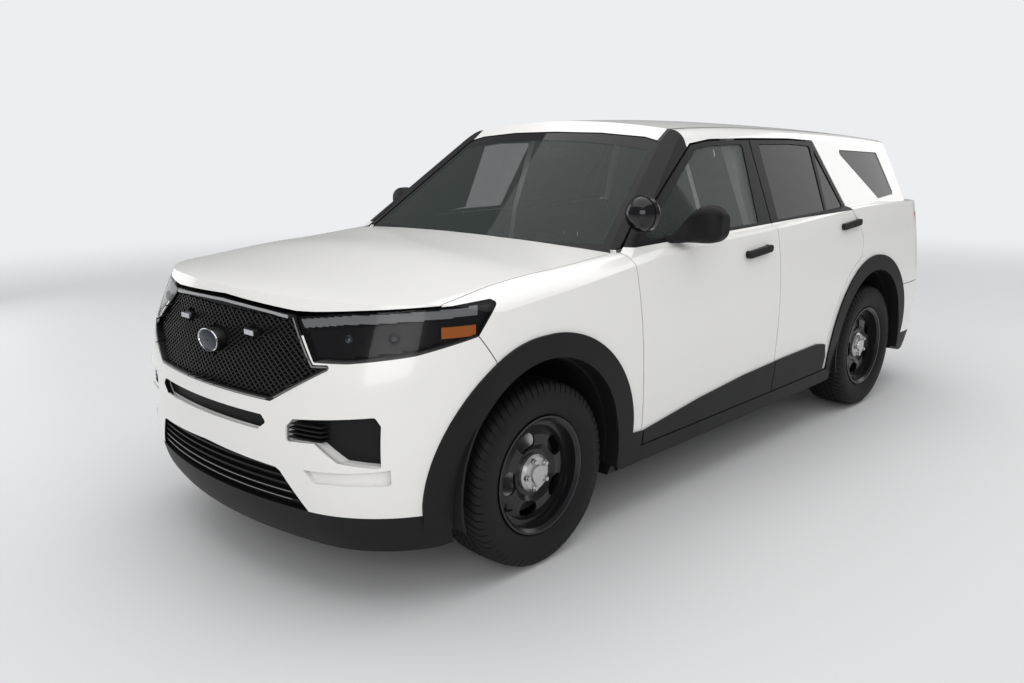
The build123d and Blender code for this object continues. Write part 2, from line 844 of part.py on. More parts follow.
# Roof, ditch strips and windshield.
shield_zone_in = front_prism(both(windshield_half), -1500, -300, grow=-seat_gap)
roof_zone = block(-ditch_x + 9.3, ditch_x - 9.3, -900, gate_axis_y - 7, 1500, 1900)
roof = carve(cover, roof_zone, shield_zone, roof_cut, mirrored(roof_cut))
keep("roof_panel", merge(roof, roof_knuckle, mirrored(roof_knuckle)))
ditch_zone = block(ditch_x - 9, ditch_x + 8.7, -700, gate_axis_y - 7, 1560, 1900)
strip = carve(cover_left, ditch_zone, shield_zone)
keep("roof_strips", merge(strip, mirrored(strip)))
keep(
    "windshield",
    carve(pane, shield_zone_in, plan_prism(hood_both, 900, 1400, grow=8)),
)
cowl_zone = plan_prism(
    both([(0, -1262), (600, -1232), (780, -1180), (826, -1110), (826, -1052), (0, -1052)]), 1100, 1300
)
with BuildPart() as cowl_part:
    add(carve(lower_body(30), block(-860, 860, -1300, -1000, 1000, 1300)))
    add(lower_body(wall_t), mode=Mode.SUBTRACT)
    add(cowl_zone, mode=Mode.INTERSECT)
    add(upper_body(glass_in - seat_gap), mode=Mode.SUBTRACT)
keep("cowl", cowl_part.part)

# Side trim: door cladding, sill, arch mouldings, handles and mirrors.
arch_in = merge(
    axle_disc(front_axle_y, arch_z, arch_cut_r - 12, 500, 1100),
    axle_disc(rear_axle_y, arch_z, arch_cut_r - 12, 500, 1100),
)
arch_out = merge(
    axle_disc(front_axle_y - arch_spread, arch_z, arch_trim_r, 900, 1100),
    axle_disc(front_axle_y + arch_spread, arch_z, arch_trim_r, 900, 1100),
    axle_disc(rear_axle_y, arch_z, arch_trim_r, 900, 1100),
)
fender_foot = side_prism([(-1110, 258), (-1110, 424), (-963, 412), (-957, 258)], x0=800)
arch_band = block(800, 1100, -2600, 2600, 300, 1100)
sill_band = block(800, 1100, front_axle_y + 540, rear_axle_y - 540, 258, door_low_z - 6)
lips = merge(
    axle_disc(front_axle_y, arch_z, arch_cut_r - seat_gap, 930, 994),
    axle_disc(rear_axle_y, arch_z, arch_cut_r - seat_gap, 930, 994),
)
moulding = merge(
    carve(layer_left, carve(arch_out, arch_band), arch_in),
    carve(layer_left, sill_band, arch_in),
    carve(layer_left, fender_foot, arch_in),
    carve(lips, arch_band, arch_in),
)
moulding = carve(moulding, block(800, 1100, -2600, 2600, 200, 1100), door_zone_r)
keep("side_mouldings", merge(moulding, mirrored(moulding)))
clad_low_z = door_low_z + 1
clad_f = (
    [(y, z) for y, z in side_line if y < split_y - half]
    + [(split_y - half, 512), (split_y - half, clad_low_z), (-950, clad_low_z)]
)
clad_r = (
    [(split_y + half, 513)]
    + [(y, z) for y, z in side_line if y > split_y + half]
    + [(817, 430), (814, clad_low_z), (split_y + half, clad_low_z)]
)


def handle(y, z, x):
    """A pull handle on two feet, standing off the door skin at x."""
    with BuildPart() as p:
        with BuildSketch(Plane.YZ.offset(x + 22)):
            with Locations((y, z)):
                SlotOverall(238, 36, rotation=4)
        extrude(amount=20)
        for end in (-96, 96):
            with BuildSketch(Plane.YZ.offset(x - 30)):
                with Locations((y + end, z + end * 0.07)):
                    Circle(19)
            extrude(amount=56)
    return p.part


def door_mirror():
    """A rounded mirror head with its glass side flat, and an arm down to the door."""
    with BuildPart() as p:
        for x, y0, y1, z0, z1 in (
            (915, -742, -640, 1226, 1262),
            (960, -700, -590, 1222, 1300),
            (1010, -672, -548, 1222, 1372),
            (1110, -650, -540, 1234, 1376),
            (1134, -622, -556, 1262, 1350),
        ):
            with BuildSketch(Plane.YZ.offset(x)):
                with Locations(((y0 + y1) / 2, (z0 + z1) / 2)):
                    RectangleRounded(y1 - y0, z1 - z0, min(y1 - y0, z1 - z0) * 0.36)
        loft()
    return p.part


keep(
    "trim_front_left",
    merge(
        carve(layer_left, side_prism(clad_f)),
        carve(
            merge(handle(-24, 1122, 966), door_mirror()),
            block(900, 1300, -900, 300, 1000, 1500),
            layer_inner,
            cabin_skin,
        ),
    ),
    "trim_front_right",
)
keep(
    "trim_rear_left",
    merge(
        carve(layer_left, side_prism(clad_r)),
        carve(handle(1062, 1172, 952), block(900, 1300, 800, 1300, 1000, 1500), layer_inner),
    ),
    "trim_rear_right",
)

# Spotlight on the left windshield pillar.
spot_x, spot_y, spot_z = 930, -930, 1368
spot_r = 77
spot_foot = Vector(826, -790, 1352)
with BuildPart() as spotlight:
    with Locations((spot_x, spot_y, spot_z)):
        Sphere(spot_r)
    with Locations(Location((spot_x, spot_y, spot_z), (90, 0, 20))):
        Cylinder(spot_r + 3, 26)
    reach = spot_foot - Vector(spot_x, spot_y, spot_z)
    with BuildSketch(Plane(origin=(spot_x, spot_y, spot_z), z_dir=reach)):
        Circle(12)
    extrude(amount=reach.length)
    add(cabin_skin, mode=Mode.SUBTRACT)
keep("spotlight", spotlight.part)

# Floor and bulkhead, with the front rails.
floor_z = 318
floor_t = 26
cargo_z = 690
liner_r = arch_cut_r - seat_gap
liner_in = arch_cut_r - 24
riser_y = 1010
liner_x = 512
pan_x = liner_x - seat_gap
with BuildPart() as floor:
    add(carve(inner, block(-1000, 1000, -1080, 938, floor_z - floor_t, floor_z)))
    add(carve(inner, block(-1000, 1000, -1080, -1056, floor_z - floor_t, 1149.7)))
    add(block(-pan_x, pan_x, 930, riser_y + floor_t, floor_z - floor_t, floor_z))
    add(block(-pan_x, pan_x, riser_y, riser_y + floor_t, floor_z - floor_t, cargo_z))
    add(block(-pan_x, pan_x, riser_y, 2300, cargo_z - floor_t, cargo_z))
    add(carve(inner, block(-1000, 1000, 1890, 2370, cargo_z - floor_t, cargo_z)))
    add(carve(inner, block(-560, 560, 2330, 2700, 600, 680)))
    add(carve(inner, block(-488, 488, -2700, -2300, 562, 640)))
    for px in (-700, 700):
        for py in (-860, 760):
            with Locations((px, py, floor_z - floor_t - 24)):
                Box(90, 120, 50)
    for side in (-1, 1):
        rail_x0, rail_x1 = sorted((side * 440, side * pan_x))
        add(block(rail_x0, rail_x1, -2340, -1060, 425, 515))
        add(block(rail_x0, rail_x1, -2360, -2300, 425, 640))
keep("floor_pan", floor.part)

# Wheelhouse liners, open at the inside where the suspension arms pass.
liners = []
for axle_y in (front_axle_y, rear_axle_y):
    cup = carve(
        axle_disc(axle_y, arch_z, liner_r, liner_x, 928),
        block(-1300, 1300, axle_y - 600, axle_y + 600, arch_z - 100, 1100),
        axle_disc(axle_y, arch_z, liner_in, liner_x + 8, 1000),
        block(494, 534, axle_y - 130, axle_y + 130, 230, 430),
    )
    liners += [cup, mirrored(cup)]
keep("wheel_liners", merge(*liners))

# Engine as one plain block on the front frame.
with BuildPart() as engine:
    with Locations((0, -1740, 360.3 + 290)):
        Box(640, 560, 580)
keep("engine_block", engine.part)

arm_z = 227


def frame_with_arms(axle_y, steered, rest_z):
    """A suspension frame with arms out to both knuckles, and its two struts."""
    with BuildPart() as p:
        for side in (-1, 1):
            with Locations((side * 360, axle_y, 330)):
                Box(90, 700, 60)
            for dy in (-280, 280):
                with Locations((side * 470, axle_y + dy, (330 + rest_z) / 2)):
                    Box(50, 80, rest_z - 330)
            with Locations((side * 590, axle_y, arm_z)):
                Box(448, 64, 30)
            with Locations((side * 400, axle_y, 275)):
                Box(80, 120, 110)
            with Locations((side * 710, axle_y, 537)):
                Box(204, 60, 28)
            with Locations((side * 640, axle_y, (530 + 852.7) / 2)):
                Cylinder(26, 852.7 - 530)
            if steered:
                for z in (arm_z + 20, 518):
                    with Locations((side * kingpin_x, axle_y, z)):
                        Cylinder(kingpin_r, 40)
            else:
                with Locations((side * 786, axle_y, tyre_r)):
                    Box(52, 110, 320)
                with Locations(Location((side * 820, axle_y, tyre_r), (0, 90, 0))):
                    Cylinder(spindle_r, 90)
        for dy in (-280, 280):
            with Locations((0, axle_y + dy, 330)):
                Box(990, 90, 60)
    return p.part


keep("front_frame", frame_with_arms(front_axle_y, True, 425 - seat_gap))
keep("rear_frame", frame_with_arms(rear_axle_y, False, cargo_z - floor_t - seat_gap))
with BuildPart() as knuckle:
    with Locations((kingpin_x, front_axle_y, tyre_r)):
        Box(54, 110, 268)
    with Locations(Location((820, front_axle_y, tyre_r), (0, 90, 0))):
        Cylinder(spindle_r, 90)
    for z in (tyre_r - 134, tyre_r + 134):
        with Locations((kingpin_x, front_axle_y, z)):
            Cylinder(kingpin_r + 0.05, 56, mode=Mode.SUBTRACT)
keep("knuckle_front_left", knuckle.part, "knuckle_front_right")

# Wheels: profiles are (x from the wheel's middle, radius).
tyre_profile = [
    (-94.6, rim_flange_r - 12.6),
    (-96.6, rim_flange_r + 0.4),
    (-112, rim_flange_r + 8),
    (-127.5, 300),
    (-122, 345),
    (-108, 370),
    (-84, 379),
    (0, tyre_r),
    (84, 379),
    (108, 370),
    (122, 345),
    (127.5, 300),
    (112, rim_flange_r + 8),
    (96.6, rim_flange_r + 0.4),
    (94.6, rim_flange_r - 12.6),
]
rim_profile = [
    (-112, rim_flange_r),
    (-97, rim_flange_r),
    (-95, 229),
    (-50, 226),
    (-40, 212),
    (20, 208),
    (60, 226),
    (95, 229),
    (97, rim_flange_r),
    (112, rim_flange_r),
    (112, 234),
    (100, 221),
    (62, 218),
    (60, 196),
    (72, 160),
    (76, 120),
    (58, 96),
    (58, 40),
    (50, 40),
    (50, 98),
    (67, 124),
    (63, 158),
    (50, 190),
    (48, 206),
    (20, 201),
    (-44, 205),
    (-54, 219),
    (-100, 221),
    (-112, 234),
]
hub_profile = [
    (-20, spindle_r + spindle_clear),
    (-20, 66),
    (-8, 66),
    (-8, disc_r),
    (14, disc_r),
    (14, 84),
    (49.7, 84),
    (49.7, 36),
    (70, 36),
    (70, 0),
    (20, 0),
    (20, spindle_r + spindle_clear),
]
cap_profile = [(58.3, 0), (58.3, 78), (72, 78), (84, 66), (86, 40), (96, 36), (96, 0)]


def turned(points, x, y):
    """A turned piece about the wheel's axle at x, y."""
    with BuildPart() as p:
        with BuildSketch(Plane.XZ):
            with BuildLine():
                Polyline(*[(a, r) for a, r in points], close=True)
            make_face()
        revolve(axis=Axis.X, revolution_arc=360)
    return p.part.moved(Location((x, y, tyre_r)))


for end, axle_y in (("front", front_axle_y), ("rear", rear_axle_y)):
    with BuildPart() as tyre:
        with BuildSketch(Plane.XZ):
            with BuildLine():
                Polyline(*tyre_profile, close=True)
            make_face()
        revolve(axis=Axis.X, revolution_arc=360)
    with BuildPart() as rim:
        with BuildSketch(Plane.XZ):
            with BuildLine():
                Polyline(*rim_profile, close=True)
            make_face()
        revolve(axis=Axis.X, revolution_arc=360)
        with BuildSketch(Plane.YZ.offset(30)):
            with PolarLocations(146, 5, start_angle=254):
                SlotOverall(98, 64, rotation=90)
        extrude(amount=80, mode=Mode.SUBTRACT)
    spot = Location((wheel_x, axle_y, tyre_r))
    keep("tyre_" + end + "_left", tyre.part.moved(spot), "tyre_" + end + "_right")
    keep("wheel_" + end + "_left", rim.part.moved(spot), "wheel_" + end + "_right")
    hub = merge(turned(hub_profile, wheel_x, axle_y), turned(cap_profile, wheel_x, axle_y))
    keep("hub_" + end + "_left", hub, "hub_" + end + "_right")

# Cabin: dashboard with steering wheel, seats.
dash_side = [
    (-1055.7, 640),
    (-1055.7, 1170),
    (-1000, 1190),
    (-880, 1190),
    (-640, 1130),
    (-590, 1040),
    (-640, 900),
    (-760, 640),
]
dash_top = block(-785, 785, -1300, -990, 1150, 1190)
with BuildPart() as dash:
    add(carve(upper_body(14), dash_top, plan_prism(hood_both, 900, 1400, grow=8)))
    add(side_prism(dash_side, x0=-785, x1=785))
    with Locations(Location((370, -470, 1010), (68, 0, 0))):
        Torus(180, 15)
        Cylinder(62, 30)
        Box(350, 30, 18)
        Box(30, 350, 18)
    with Locations(Location((370, -560, 980), (68, 0, 0))):
        Cylinder(28, 220)
keep("dashboard", dash.part)


def seat(x, y, width, floor_level, heads):
    """A seat: a foot, a cushion, a back and head rests."""
    with BuildPart() as p:
        with Locations((x, y, floor_level + 0.3 + 60)):
            Box(width * 0.7, 360, 120)
        with BuildSketch(Plane.YZ.offset(x - width / 2)) as s:
            with BuildLine():
                Polyline(
                    (y - 260, floor_level + 120),
                    (y + 250, floor_level + 120),
                    (y + 410, floor_level + 780),
                    (y + 290, floor_level + 790),
                    (y + 150, floor_level + 300),
                    (y - 260, floor_level + 290),
                    close=True,
                )
            make_face()
            fillet(s.vertices(), 34)
        extrude(amount=width)
        for hx in heads:
            with BuildSketch(Plane.YZ.offset(x + hx - 125)):
                with Locations((y + 356, floor_level + 860)):
                    RectangleRounded(110, 190, 40, rotation=-14)
            extrude(amount=250)
    return p.part


one_seat = seat(380, -200, 520, floor_z, (0,))
keep("front_seats", merge(one_seat, mirrored(one_seat)))
keep("rear_seat", seat(0, 680, 1240, floor_z, (-370, 370)))

# Exhaust under the floor, on two hangers.
with BuildPart() as exhaust:
    with Locations(Location((-430, 2150, 300), (0, 90, 0))):
        Cylinder(85, 440)
    with Locations(Location((-250, (2150 - 700) / 2, 240), (90, 0, 0))):
        Cylinder(30, 2850)
    with Locations(Location((-560, 2300, 200), (90, 0, 0))):
        Cylinder(26, 300)
    for x in (-540, -330):
        with Locations((x, 2150, (350 + cargo_z - floor_t - seat_gap) / 2)):
            Box(20, 30, cargo_z - floor_t - seat_gap - 350)
keep("exhaust", exhaust.part)
for name, part in nodes.items():
    export_step(part, "parts/" + name + ".step")
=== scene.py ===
import math

import bmesh
import bpy
from mathutils import Matrix, Vector
from mathutils.bvhtree import BVHTree


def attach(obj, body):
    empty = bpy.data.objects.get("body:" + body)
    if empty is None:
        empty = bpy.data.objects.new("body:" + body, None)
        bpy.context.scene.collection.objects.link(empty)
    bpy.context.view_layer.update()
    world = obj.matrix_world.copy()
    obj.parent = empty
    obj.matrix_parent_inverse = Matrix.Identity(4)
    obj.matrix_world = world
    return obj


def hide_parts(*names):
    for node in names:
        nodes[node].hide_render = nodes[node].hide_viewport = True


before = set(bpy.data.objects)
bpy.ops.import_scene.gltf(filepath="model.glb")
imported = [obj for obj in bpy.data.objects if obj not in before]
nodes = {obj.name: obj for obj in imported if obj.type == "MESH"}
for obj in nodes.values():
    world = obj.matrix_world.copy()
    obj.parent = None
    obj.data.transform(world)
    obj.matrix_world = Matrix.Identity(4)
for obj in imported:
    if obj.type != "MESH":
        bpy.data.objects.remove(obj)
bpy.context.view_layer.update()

# Sizes in metres, in the CAD's frame: the front looks along -Y and the left side is +X.
TYRE_R = 0.3816
WHEEL_X = 0.8505
AXLE_Y = {"front": -1.610, "rear": 1.415}
SIDES = (("left", 1), ("right", -1))
ENDS = ("front", "rear")
CHASSIS = "chassis"


# Materials.
def material(name, colour, rough, **extra):
    """A material whose shader has a colour, a roughness and any extra inputs by name."""
    m = bpy.data.materials.new(name)
    m.use_nodes = True
    shader = m.node_tree.nodes["Principled BSDF"]
    shader.inputs["Base Color"].default_value = (*colour, 1)
    shader.inputs["Roughness"].default_value = rough
    for key, value in extra.items():
        shader.inputs[key.replace("_", " ")].default_value = value
    return m


def node(m, kind, **inputs):
    """Adds a shader node and sets inputs by name."""
    n = m.node_tree.nodes.new(kind)
    for key, value in inputs.items():
        n.inputs[key].default_value = value
    return n


def link(m, a, out, b, into):
    """Links a node's output to another node's input."""
    m.node_tree.links.new(a.outputs[out], b.inputs[into])


def math_node(m, operation, a, b=0.0):
    """A math node; a and b are numbers or (node, output) pairs."""
    n = m.node_tree.nodes.new("ShaderNodeMath")
    n.operation = operation
    for i, v in enumerate((a, b)):
        if isinstance(v, tuple):
            feed(m, v, n, i)
        else:
            n.inputs[i].default_value = v
    return n, 0


def feed(m, value, b, into):
    """Links a (node, output) pair to an input."""
    m.node_tree.links.new(value[0].outputs[value[1]], b.inputs[into])


def blend(m, mask, low, high):
    """A number that goes from low to high with a mask."""
    n = node(m, "ShaderNodeMapRange")
    feed(m, mask, n, "Value")
    n.inputs["To Min"].default_value = low
    n.inputs["To Max"].default_value = high
    return n, "Result"


def place(m):
    """The object coordinates of a material, split into x, y and z."""
    coords = node(m, "ShaderNodeTexCoord")
    xyz = node(m, "ShaderNodeSeparateXYZ")
    link(m, coords, "Object", xyz, 0)
    return coords, xyz


def grain(m, scale, strength, distance, spread=0.0):
    """Bump from noise, and a little variation of roughness by a wide noise."""
    shader = m.node_tree.nodes["Principled BSDF"]
    coords = node(m, "ShaderNodeTexCoord")
    noise = node(m, "ShaderNodeTexNoise", Scale=scale, Detail=3.0)
    bump = node(m, "ShaderNodeBump", Strength=strength, Distance=distance)
    link(m, coords, "Object", noise, "Vector")
    link(m, noise, "Fac", bump, "Height")
    link(m, bump, "Normal", shader, "Normal")
    if spread:
        wide = node(m, "ShaderNodeTexNoise", Scale=3.0, Detail=4.0)
        base = shader.inputs["Roughness"].default_value
        link(m, coords, "Object", wide, "Vector")
        feed(m, blend(m, (wide, "Fac"), max(base - spread, 0.02), base + spread), shader, "Roughness")
    return m


def mix_colour(m, fac, a, b):
    """Mixes two colours, or the output of a node and a colour, by a mask."""
    mix = m.node_tree.nodes.new("ShaderNodeMix")
    mix.data_type = "RGBA"
    feed(m, fac, mix, "Factor")
    for socket, value in (("A", a), ("B", b)):
        target = [i for i in mix.inputs if i.name == socket and i.type == "RGBA"][0]
        if isinstance(value, tuple) and not isinstance(value[0], (int, float)):
            m.node_tree.links.new(value[0].outputs[value[1]], target)
        else:
            target.default_value = (*value, 1)
    return mix, [i for i, o in enumerate(mix.outputs) if o.type == "RGBA"][0]


PAINT = (0.82, 0.808, 0.785)
PAINT_ROUGH = 0.24
DARK = (0.008, 0.008, 0.009)
# Specular level of dull plastic, rubber and cloth.
DULL = 0.22

# Name, colour, roughness, metallic, then the grain's scale, strength, depth and spread.
FINISHES = [
    ("black_trim", (0.009, 0.009, 0.0095), 0.5, 0.0, 900, 0.25, 0.0006, 0.06),
    ("black_satin", (0.008, 0.008, 0.009), 0.28, 0.0, 400, 0.08, 0.0005, 0.05),
    ("black_gloss", (0.005, 0.005, 0.006), 0.09, 0.0, 60, 0.02, 0.0005, 0.03),
    ("chrome", (0.75, 0.76, 0.78), 0.09, 1.0, 30, 0.03, 0.0004, 0.03),
    ("cap_silver", (0.55, 0.55, 0.54), 0.3, 0.9, 120, 0.1, 0.0006, 0.1),
    ("bare_steel", (0.36, 0.35, 0.34), 0.42, 1.0, 80, 0.3, 0.001, 0.12),
    ("cast_metal", (0.11, 0.105, 0.10), 0.62, 0.7, 220, 0.5, 0.002, 0.1),
    ("chassis_black", (0.010, 0.010, 0.011), 0.6, 0.0, 120, 0.3, 0.0015, 0.08),
    ("wheel_black", (0.007, 0.007, 0.008), 0.24, 0.0, 150, 0.12, 0.0008, 0.08),
    ("tyre_rubber", (0.011, 0.011, 0.012), 0.62, 0.0, 500, 0.35, 0.0008, 0.08),
    ("dash_plastic", (0.014, 0.0145, 0.015), 0.6, 0.0, 1200, 0.35, 0.0006, 0.05),
    ("amber_reflector", (0.75, 0.20, 0.03), 0.25, 0.0, 260, 0.5, 0.002, 0.0),
    ("seat_cloth", (0.030, 0.032, 0.034), 0.92, 0.0, 1700, 0.5, 0.0008, 0.03),
    ("lens_clear", (0.65, 0.68, 0.72), 0.08, 0.6, 90, 0.2, 0.0015, 0.0),
    ("badge_face", (0.012, 0.016, 0.030), 0.15, 0.0, 60, 0.02, 0.0004, 0.0),
    ("satin_chrome", (0.62, 0.62, 0.63), 0.22, 1.0, 60, 0.03, 0.0004, 0.0),
    # Satin metal for real trim lines on the grille and spotlight, and also for the painted highlight
    # strips on the intake slats.
    ("satin_trim_and_painted_highlight", (0.34, 0.33, 0.32), 0.3, 0.9, 200, 0.05, 0.0004, 0.0),
    ("lamp_bucket", (0.008, 0.008, 0.009), 0.22, 0.0, 60, 0.05, 0.001, 0.0),
    ("lens_dark", (0.20, 0.21, 0.23), 0.06, 0.9, 90, 0.2, 0.0015, 0.0),
    ("lamp_strip", (0.36, 0.365, 0.37), 0.35, 0.0, 300, 0.2, 0.001, 0.0),
]
made = {}
for name, colour, roughness, metallic, scale, strength, depth, spread in FINISHES:
    m = material(name, colour, roughness, Metallic=metallic)
    made[name] = grain(m, scale, strength, depth, spread=spread)
black_trim, black_satin, black_gloss = made["black_trim"], made["black_satin"], made["black_gloss"]
chrome, satin_chrome, satin_trim_and_painted_highlight = made["chrome"], made["satin_chrome"], made["satin_trim_and_painted_highlight"]
cap_silver, bare_steel, cast = made["cap_silver"], made["bare_steel"], made["cast_metal"]
chassis_black, steel_black = made["chassis_black"], made["wheel_black"]
rubber, dash_plastic, seat_cloth = made["tyre_rubber"], made["dash_plastic"], made["seat_cloth"]
for m in (black_trim, chassis_black, rubber, dash_plastic, seat_cloth):
    m.node_tree.nodes["Principled BSDF"].inputs["Specular IOR Level"].default_value = DULL


def glass(name, colour, alpha, shine):
    """A pane seen as a tinted film, so that light reaches the cabin."""
    m = material(name, colour, 0.03, Alpha=alpha)
    m.node_tree.nodes["Principled BSDF"].inputs["Specular IOR Level"].default_value = shine
    return grain(m, 2, 0.004, 0.0002)


clear_glass = glass("side_glass", (0.055, 0.068, 0.062), 0.42, 0.35)
dark_glass = glass("dark_glass", (0.004, 0.004, 0.005), 0.95, 0.25)
lamp_smoke = glass("lamp_smoke", (0.008, 0.008, 0.009), 0.42, 0.4)


SHIELD = (0.05, 0.062, 0.057)
BAND_LOW, BAND_HIGH = 1.232, 1.668
BAND_SIDE, PILLAR_LEAN = 1.238, 0.374
ROOF_BOW = 0.107


def banded_shield():
    """The windshield's glass, with the black printed band along its edges."""
    m = glass("shield_glass", SHIELD, 0.38, 0.25)
    shader = m.node_tree.nodes["Principled BSDF"]
    _, xyz = place(m)
    wide = math_node(m, "ABSOLUTE", (xyz, "X"))
    low = math_node(m, "LESS_THAN", (xyz, "Z"), BAND_LOW)
    lean = math_node(m, "ADD", wide, math_node(m, "MULTIPLY", (xyz, "Z"), PILLAR_LEAN))
    side = math_node(m, "GREATER_THAN", lean, BAND_SIDE)
    bow = math_node(m, "MULTIPLY", math_node(m, "MULTIPLY", wide, wide), ROOF_BOW)
    high = math_node(m, "GREATER_THAN", math_node(m, "ADD", bow, (xyz, "Z")), BAND_HIGH)
    band = math_node(m, "MAXIMUM", math_node(m, "MAXIMUM", low, side), high)
    feed(m, mix_colour(m, band, SHIELD, DARK), shader, "Base Color")
    feed(m, blend(m, band, 0.40, 1.0), shader, "Alpha")
    return m


shield_glass = banded_shield()
lamp_red = grain(material("lamp_red", (0.42, 0.012, 0.010), 0.12, Alpha=0.9), 160, 0.25, 0.002)


def painted(name, mask=None):
    """White paint outside and dark trim on faces that look into the car; mask adds black areas."""
    m = material(name, PAINT, PAINT_ROUGH, Coat_Roughness=0.06)
    shader = m.node_tree.nodes["Principled BSDF"]
    coords, xyz = place(m)
    noise = node(m, "ShaderNodeTexNoise", Scale=420.0, Detail=2.0)
    bump = node(m, "ShaderNodeBump", Strength=0.02, Distance=0.0004)
    link(m, coords, "Object", noise, "Vector")
    link(m, noise, "Fac", bump, "Height")
    link(m, bump, "Normal", shader, "Normal")
    wide = node(m, "ShaderNodeTexNoise", Scale=1.6, Detail=5.0)
    link(m, coords, "Object", wide, "Vector")
    tone = mix_colour(m, (wide, "Fac"), PAINT, tuple(0.965 * c for c in PAINT))
    normal = node(m, "ShaderNodeNewGeometry")
    split = node(m, "ShaderNodeSeparateXYZ")
    link(m, normal, "Normal", split, 0)
    side = math_node(m, "SIGN", (xyz, "X"))
    inward = math_node(m, "MULTIPLY", side, (split, "X"))
    dark = math_node(m, "LESS_THAN", inward, -0.25)
    if mask:
        dark = math_node(m, "MAXIMUM", dark, mask(m, xyz, split))
    feed(m, mix_colour(m, dark, tone, DARK), shader, "Base Color")
    for socket, on_paint, on_dark in (
        ("Roughness", PAINT_ROUGH, 0.45), ("Coat Weight", 0.6, 0.0), ("Specular IOR Level", 0.5, DULL),
    ):
        feed(m, blend(m, dark, on_paint, on_dark), shader, socket)
    return m


BELT_Z, BELT_RISE = 1.238, 0.012
PILLAR_Y, PILLAR_Z = -0.335, 1.214
SILL_Z = 0.345


def above_belt(m, xyz, normal):
    """Black window frames: everything over the belt line, which rises a little to the rear."""
    line = math_node(m, "MULTIPLY", (xyz, "Y"), BELT_RISE)
    height = math_node(m, "SUBTRACT", (xyz, "Z"), line)
    return math_node(m, "GREATER_THAN", height, BELT_Z)


def front_pillar(m, xyz, normal):
    """The black windshield pillar, up to the roof."""
    ahead = math_node(m, "LESS_THAN", (xyz, "Y"), PILLAR_Y)
    high = math_node(m, "GREATER_THAN", (xyz, "Z"), PILLAR_Z)
    return math_node(m, "MULTIPLY", ahead, high)


def low_sill(m, xyz, normal):
    """The black foot of the fenders and the sills."""
    return math_node(m, "LESS_THAN", (xyz, "Z"), SILL_Z)


def side_mask(m, xyz, normal):
    """The front pillar and the sill together."""
    return math_node(m, "MAXIMUM", front_pillar(m, xyz, normal), low_sill(m, xyz, normal))


def looks_down(m, xyz, normal):
    """The underside of a panel."""
    return math_node(m, "LESS_THAN", (normal, "Z"), -0.35)


def looks_ahead(m, xyz, normal):
    """Faces of the rear wall that look into the cabin."""
    return math_node(m, "LESS_THAN", (normal, "Y"), -0.3)


def looks_back(m, xyz, normal):
    """Faces of the nose that look back."""
    return math_node(m, "GREATER_THAN", (normal, "Y"), 0.5)


paint_door = painted("paint_door", above_belt)
paint_side = painted("paint_side", side_mask)
paint_fender = painted("paint_fender", low_sill)
paint_top = painted("paint_top", looks_down)
paint_gate = painted("paint_gate", looks_ahead)
paint_nose = painted("paint_nose", looks_back)


finishes = {
    "hood": paint_top, "roof_panel": paint_top, "tailgate": paint_gate,
    "front_bumper": paint_nose, "rear_bumper": paint_gate,
    "windshield": shield_glass, "tailgate_glass": dark_glass, "quarter_glass": dark_glass,
    "headlamps": lamp_smoke, "tail_lamps": lamp_red, "grille": black_satin,
    "front_inserts": black_trim, "front_valance": black_trim, "rear_valance": black_trim,
    "roof_strips": black_satin, "cowl": black_trim, "side_mouldings": black_trim,
    "spotlight": black_gloss, "floor_pan": chassis_black, "wheel_liners": chassis_black,
    "engine_block": cast,
    "front_frame": chassis_black, "rear_frame": chassis_black, "dashboard": dash_plastic,
    "exhaust": bare_steel,
}
for side, _ in SIDES:
    finishes["body_side_" + side] = paint_side
    finishes["fender_" + side] = paint_fender
    finishes["knuckle_front_" + side] = cast
    for end in ENDS:
        finishes[f"door_{end}_{side}"] = paint_door
        finishes[f"trim_{end}_{side}"] = black_trim
        finishes[f"glass_{end}_{side}"] = clear_glass if end == "front" else dark_glass
        finishes[f"wheel_{end}_{side}"] = steel_black
        finishes[f"hub_{end}_{side}"] = cap_silver
for name, m in finishes.items():
    nodes[name].data.materials.clear()
    nodes[name].data.materials.append(m)


# Mesh helpers.
def piece(name, verts, faces, body, m, smooth=True):
    """A new mesh piece that rides on a body."""
    mesh = bpy.data.meshes.new(name)
    mesh.from_pydata([tuple(v) for v in verts], [], faces)
    bm = bmesh.new()
    bm.from_mesh(mesh)
    bmesh.ops.recalc_face_normals(bm, faces=bm.faces)
    bm.to_mesh(mesh)
    bm.free()
    mesh.materials.append(m)
    for p in mesh.polygons:
        p.use_smooth = smooth
    o = bpy.data.objects.new(name, mesh)
    bpy.context.scene.collection.objects.link(o)
    if smooth:
        mesh.set_sharp_from_angle(angle=math.radians(38))
    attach(o, body)
    return o


class Build:
    """Collects vertices and faces for one piece."""

    def __init__(self):
        self.verts, self.faces = [], []

    def add(self, verts, faces):
        """Adds a form whose faces count from its own first vertex."""
        base = len(self.verts)
        self.verts += [Vector(v) for v in verts]
        self.faces += [[base + i for i in f] for f in faces]

    def make(self, name, body, m, slot, smooth=True):
        """Turns what was collected into a piece."""
        return piece(name, self.verts, self.faces, body, m, smooth)


def circle(n, across, over, start=0.0):
    """n points round a circle or ellipse that two vectors span."""
    turns = [start + 2 * math.pi * j / n for j in range(n)]
    return [math.cos(a) * across + math.sin(a) * over for a in turns]


def ring_faces(rows, cols, close_rows=False):
    """Quads between rows of a grid whose columns close on themselves."""
    faces = []
    for i in range(rows if close_rows else rows - 1):
        a, b = i * cols, ((i + 1) % rows) * cols
        faces += [[a + j, a + (j + 1) % cols, b + (j + 1) % cols, b + j] for j in range(cols)]
    return faces


def lathe(profile, centre, steps, close=False):
    """Turns (x, radius) points about the X axis through a centre."""
    verts = []
    for x, r in profile:
        middle = centre + Vector((x, 0, 0))
        verts += [middle + v for v in circle(steps, Vector((0, r, 0)), Vector((0, 0, r)))]
    return verts, ring_faces(len(profile), steps, close)


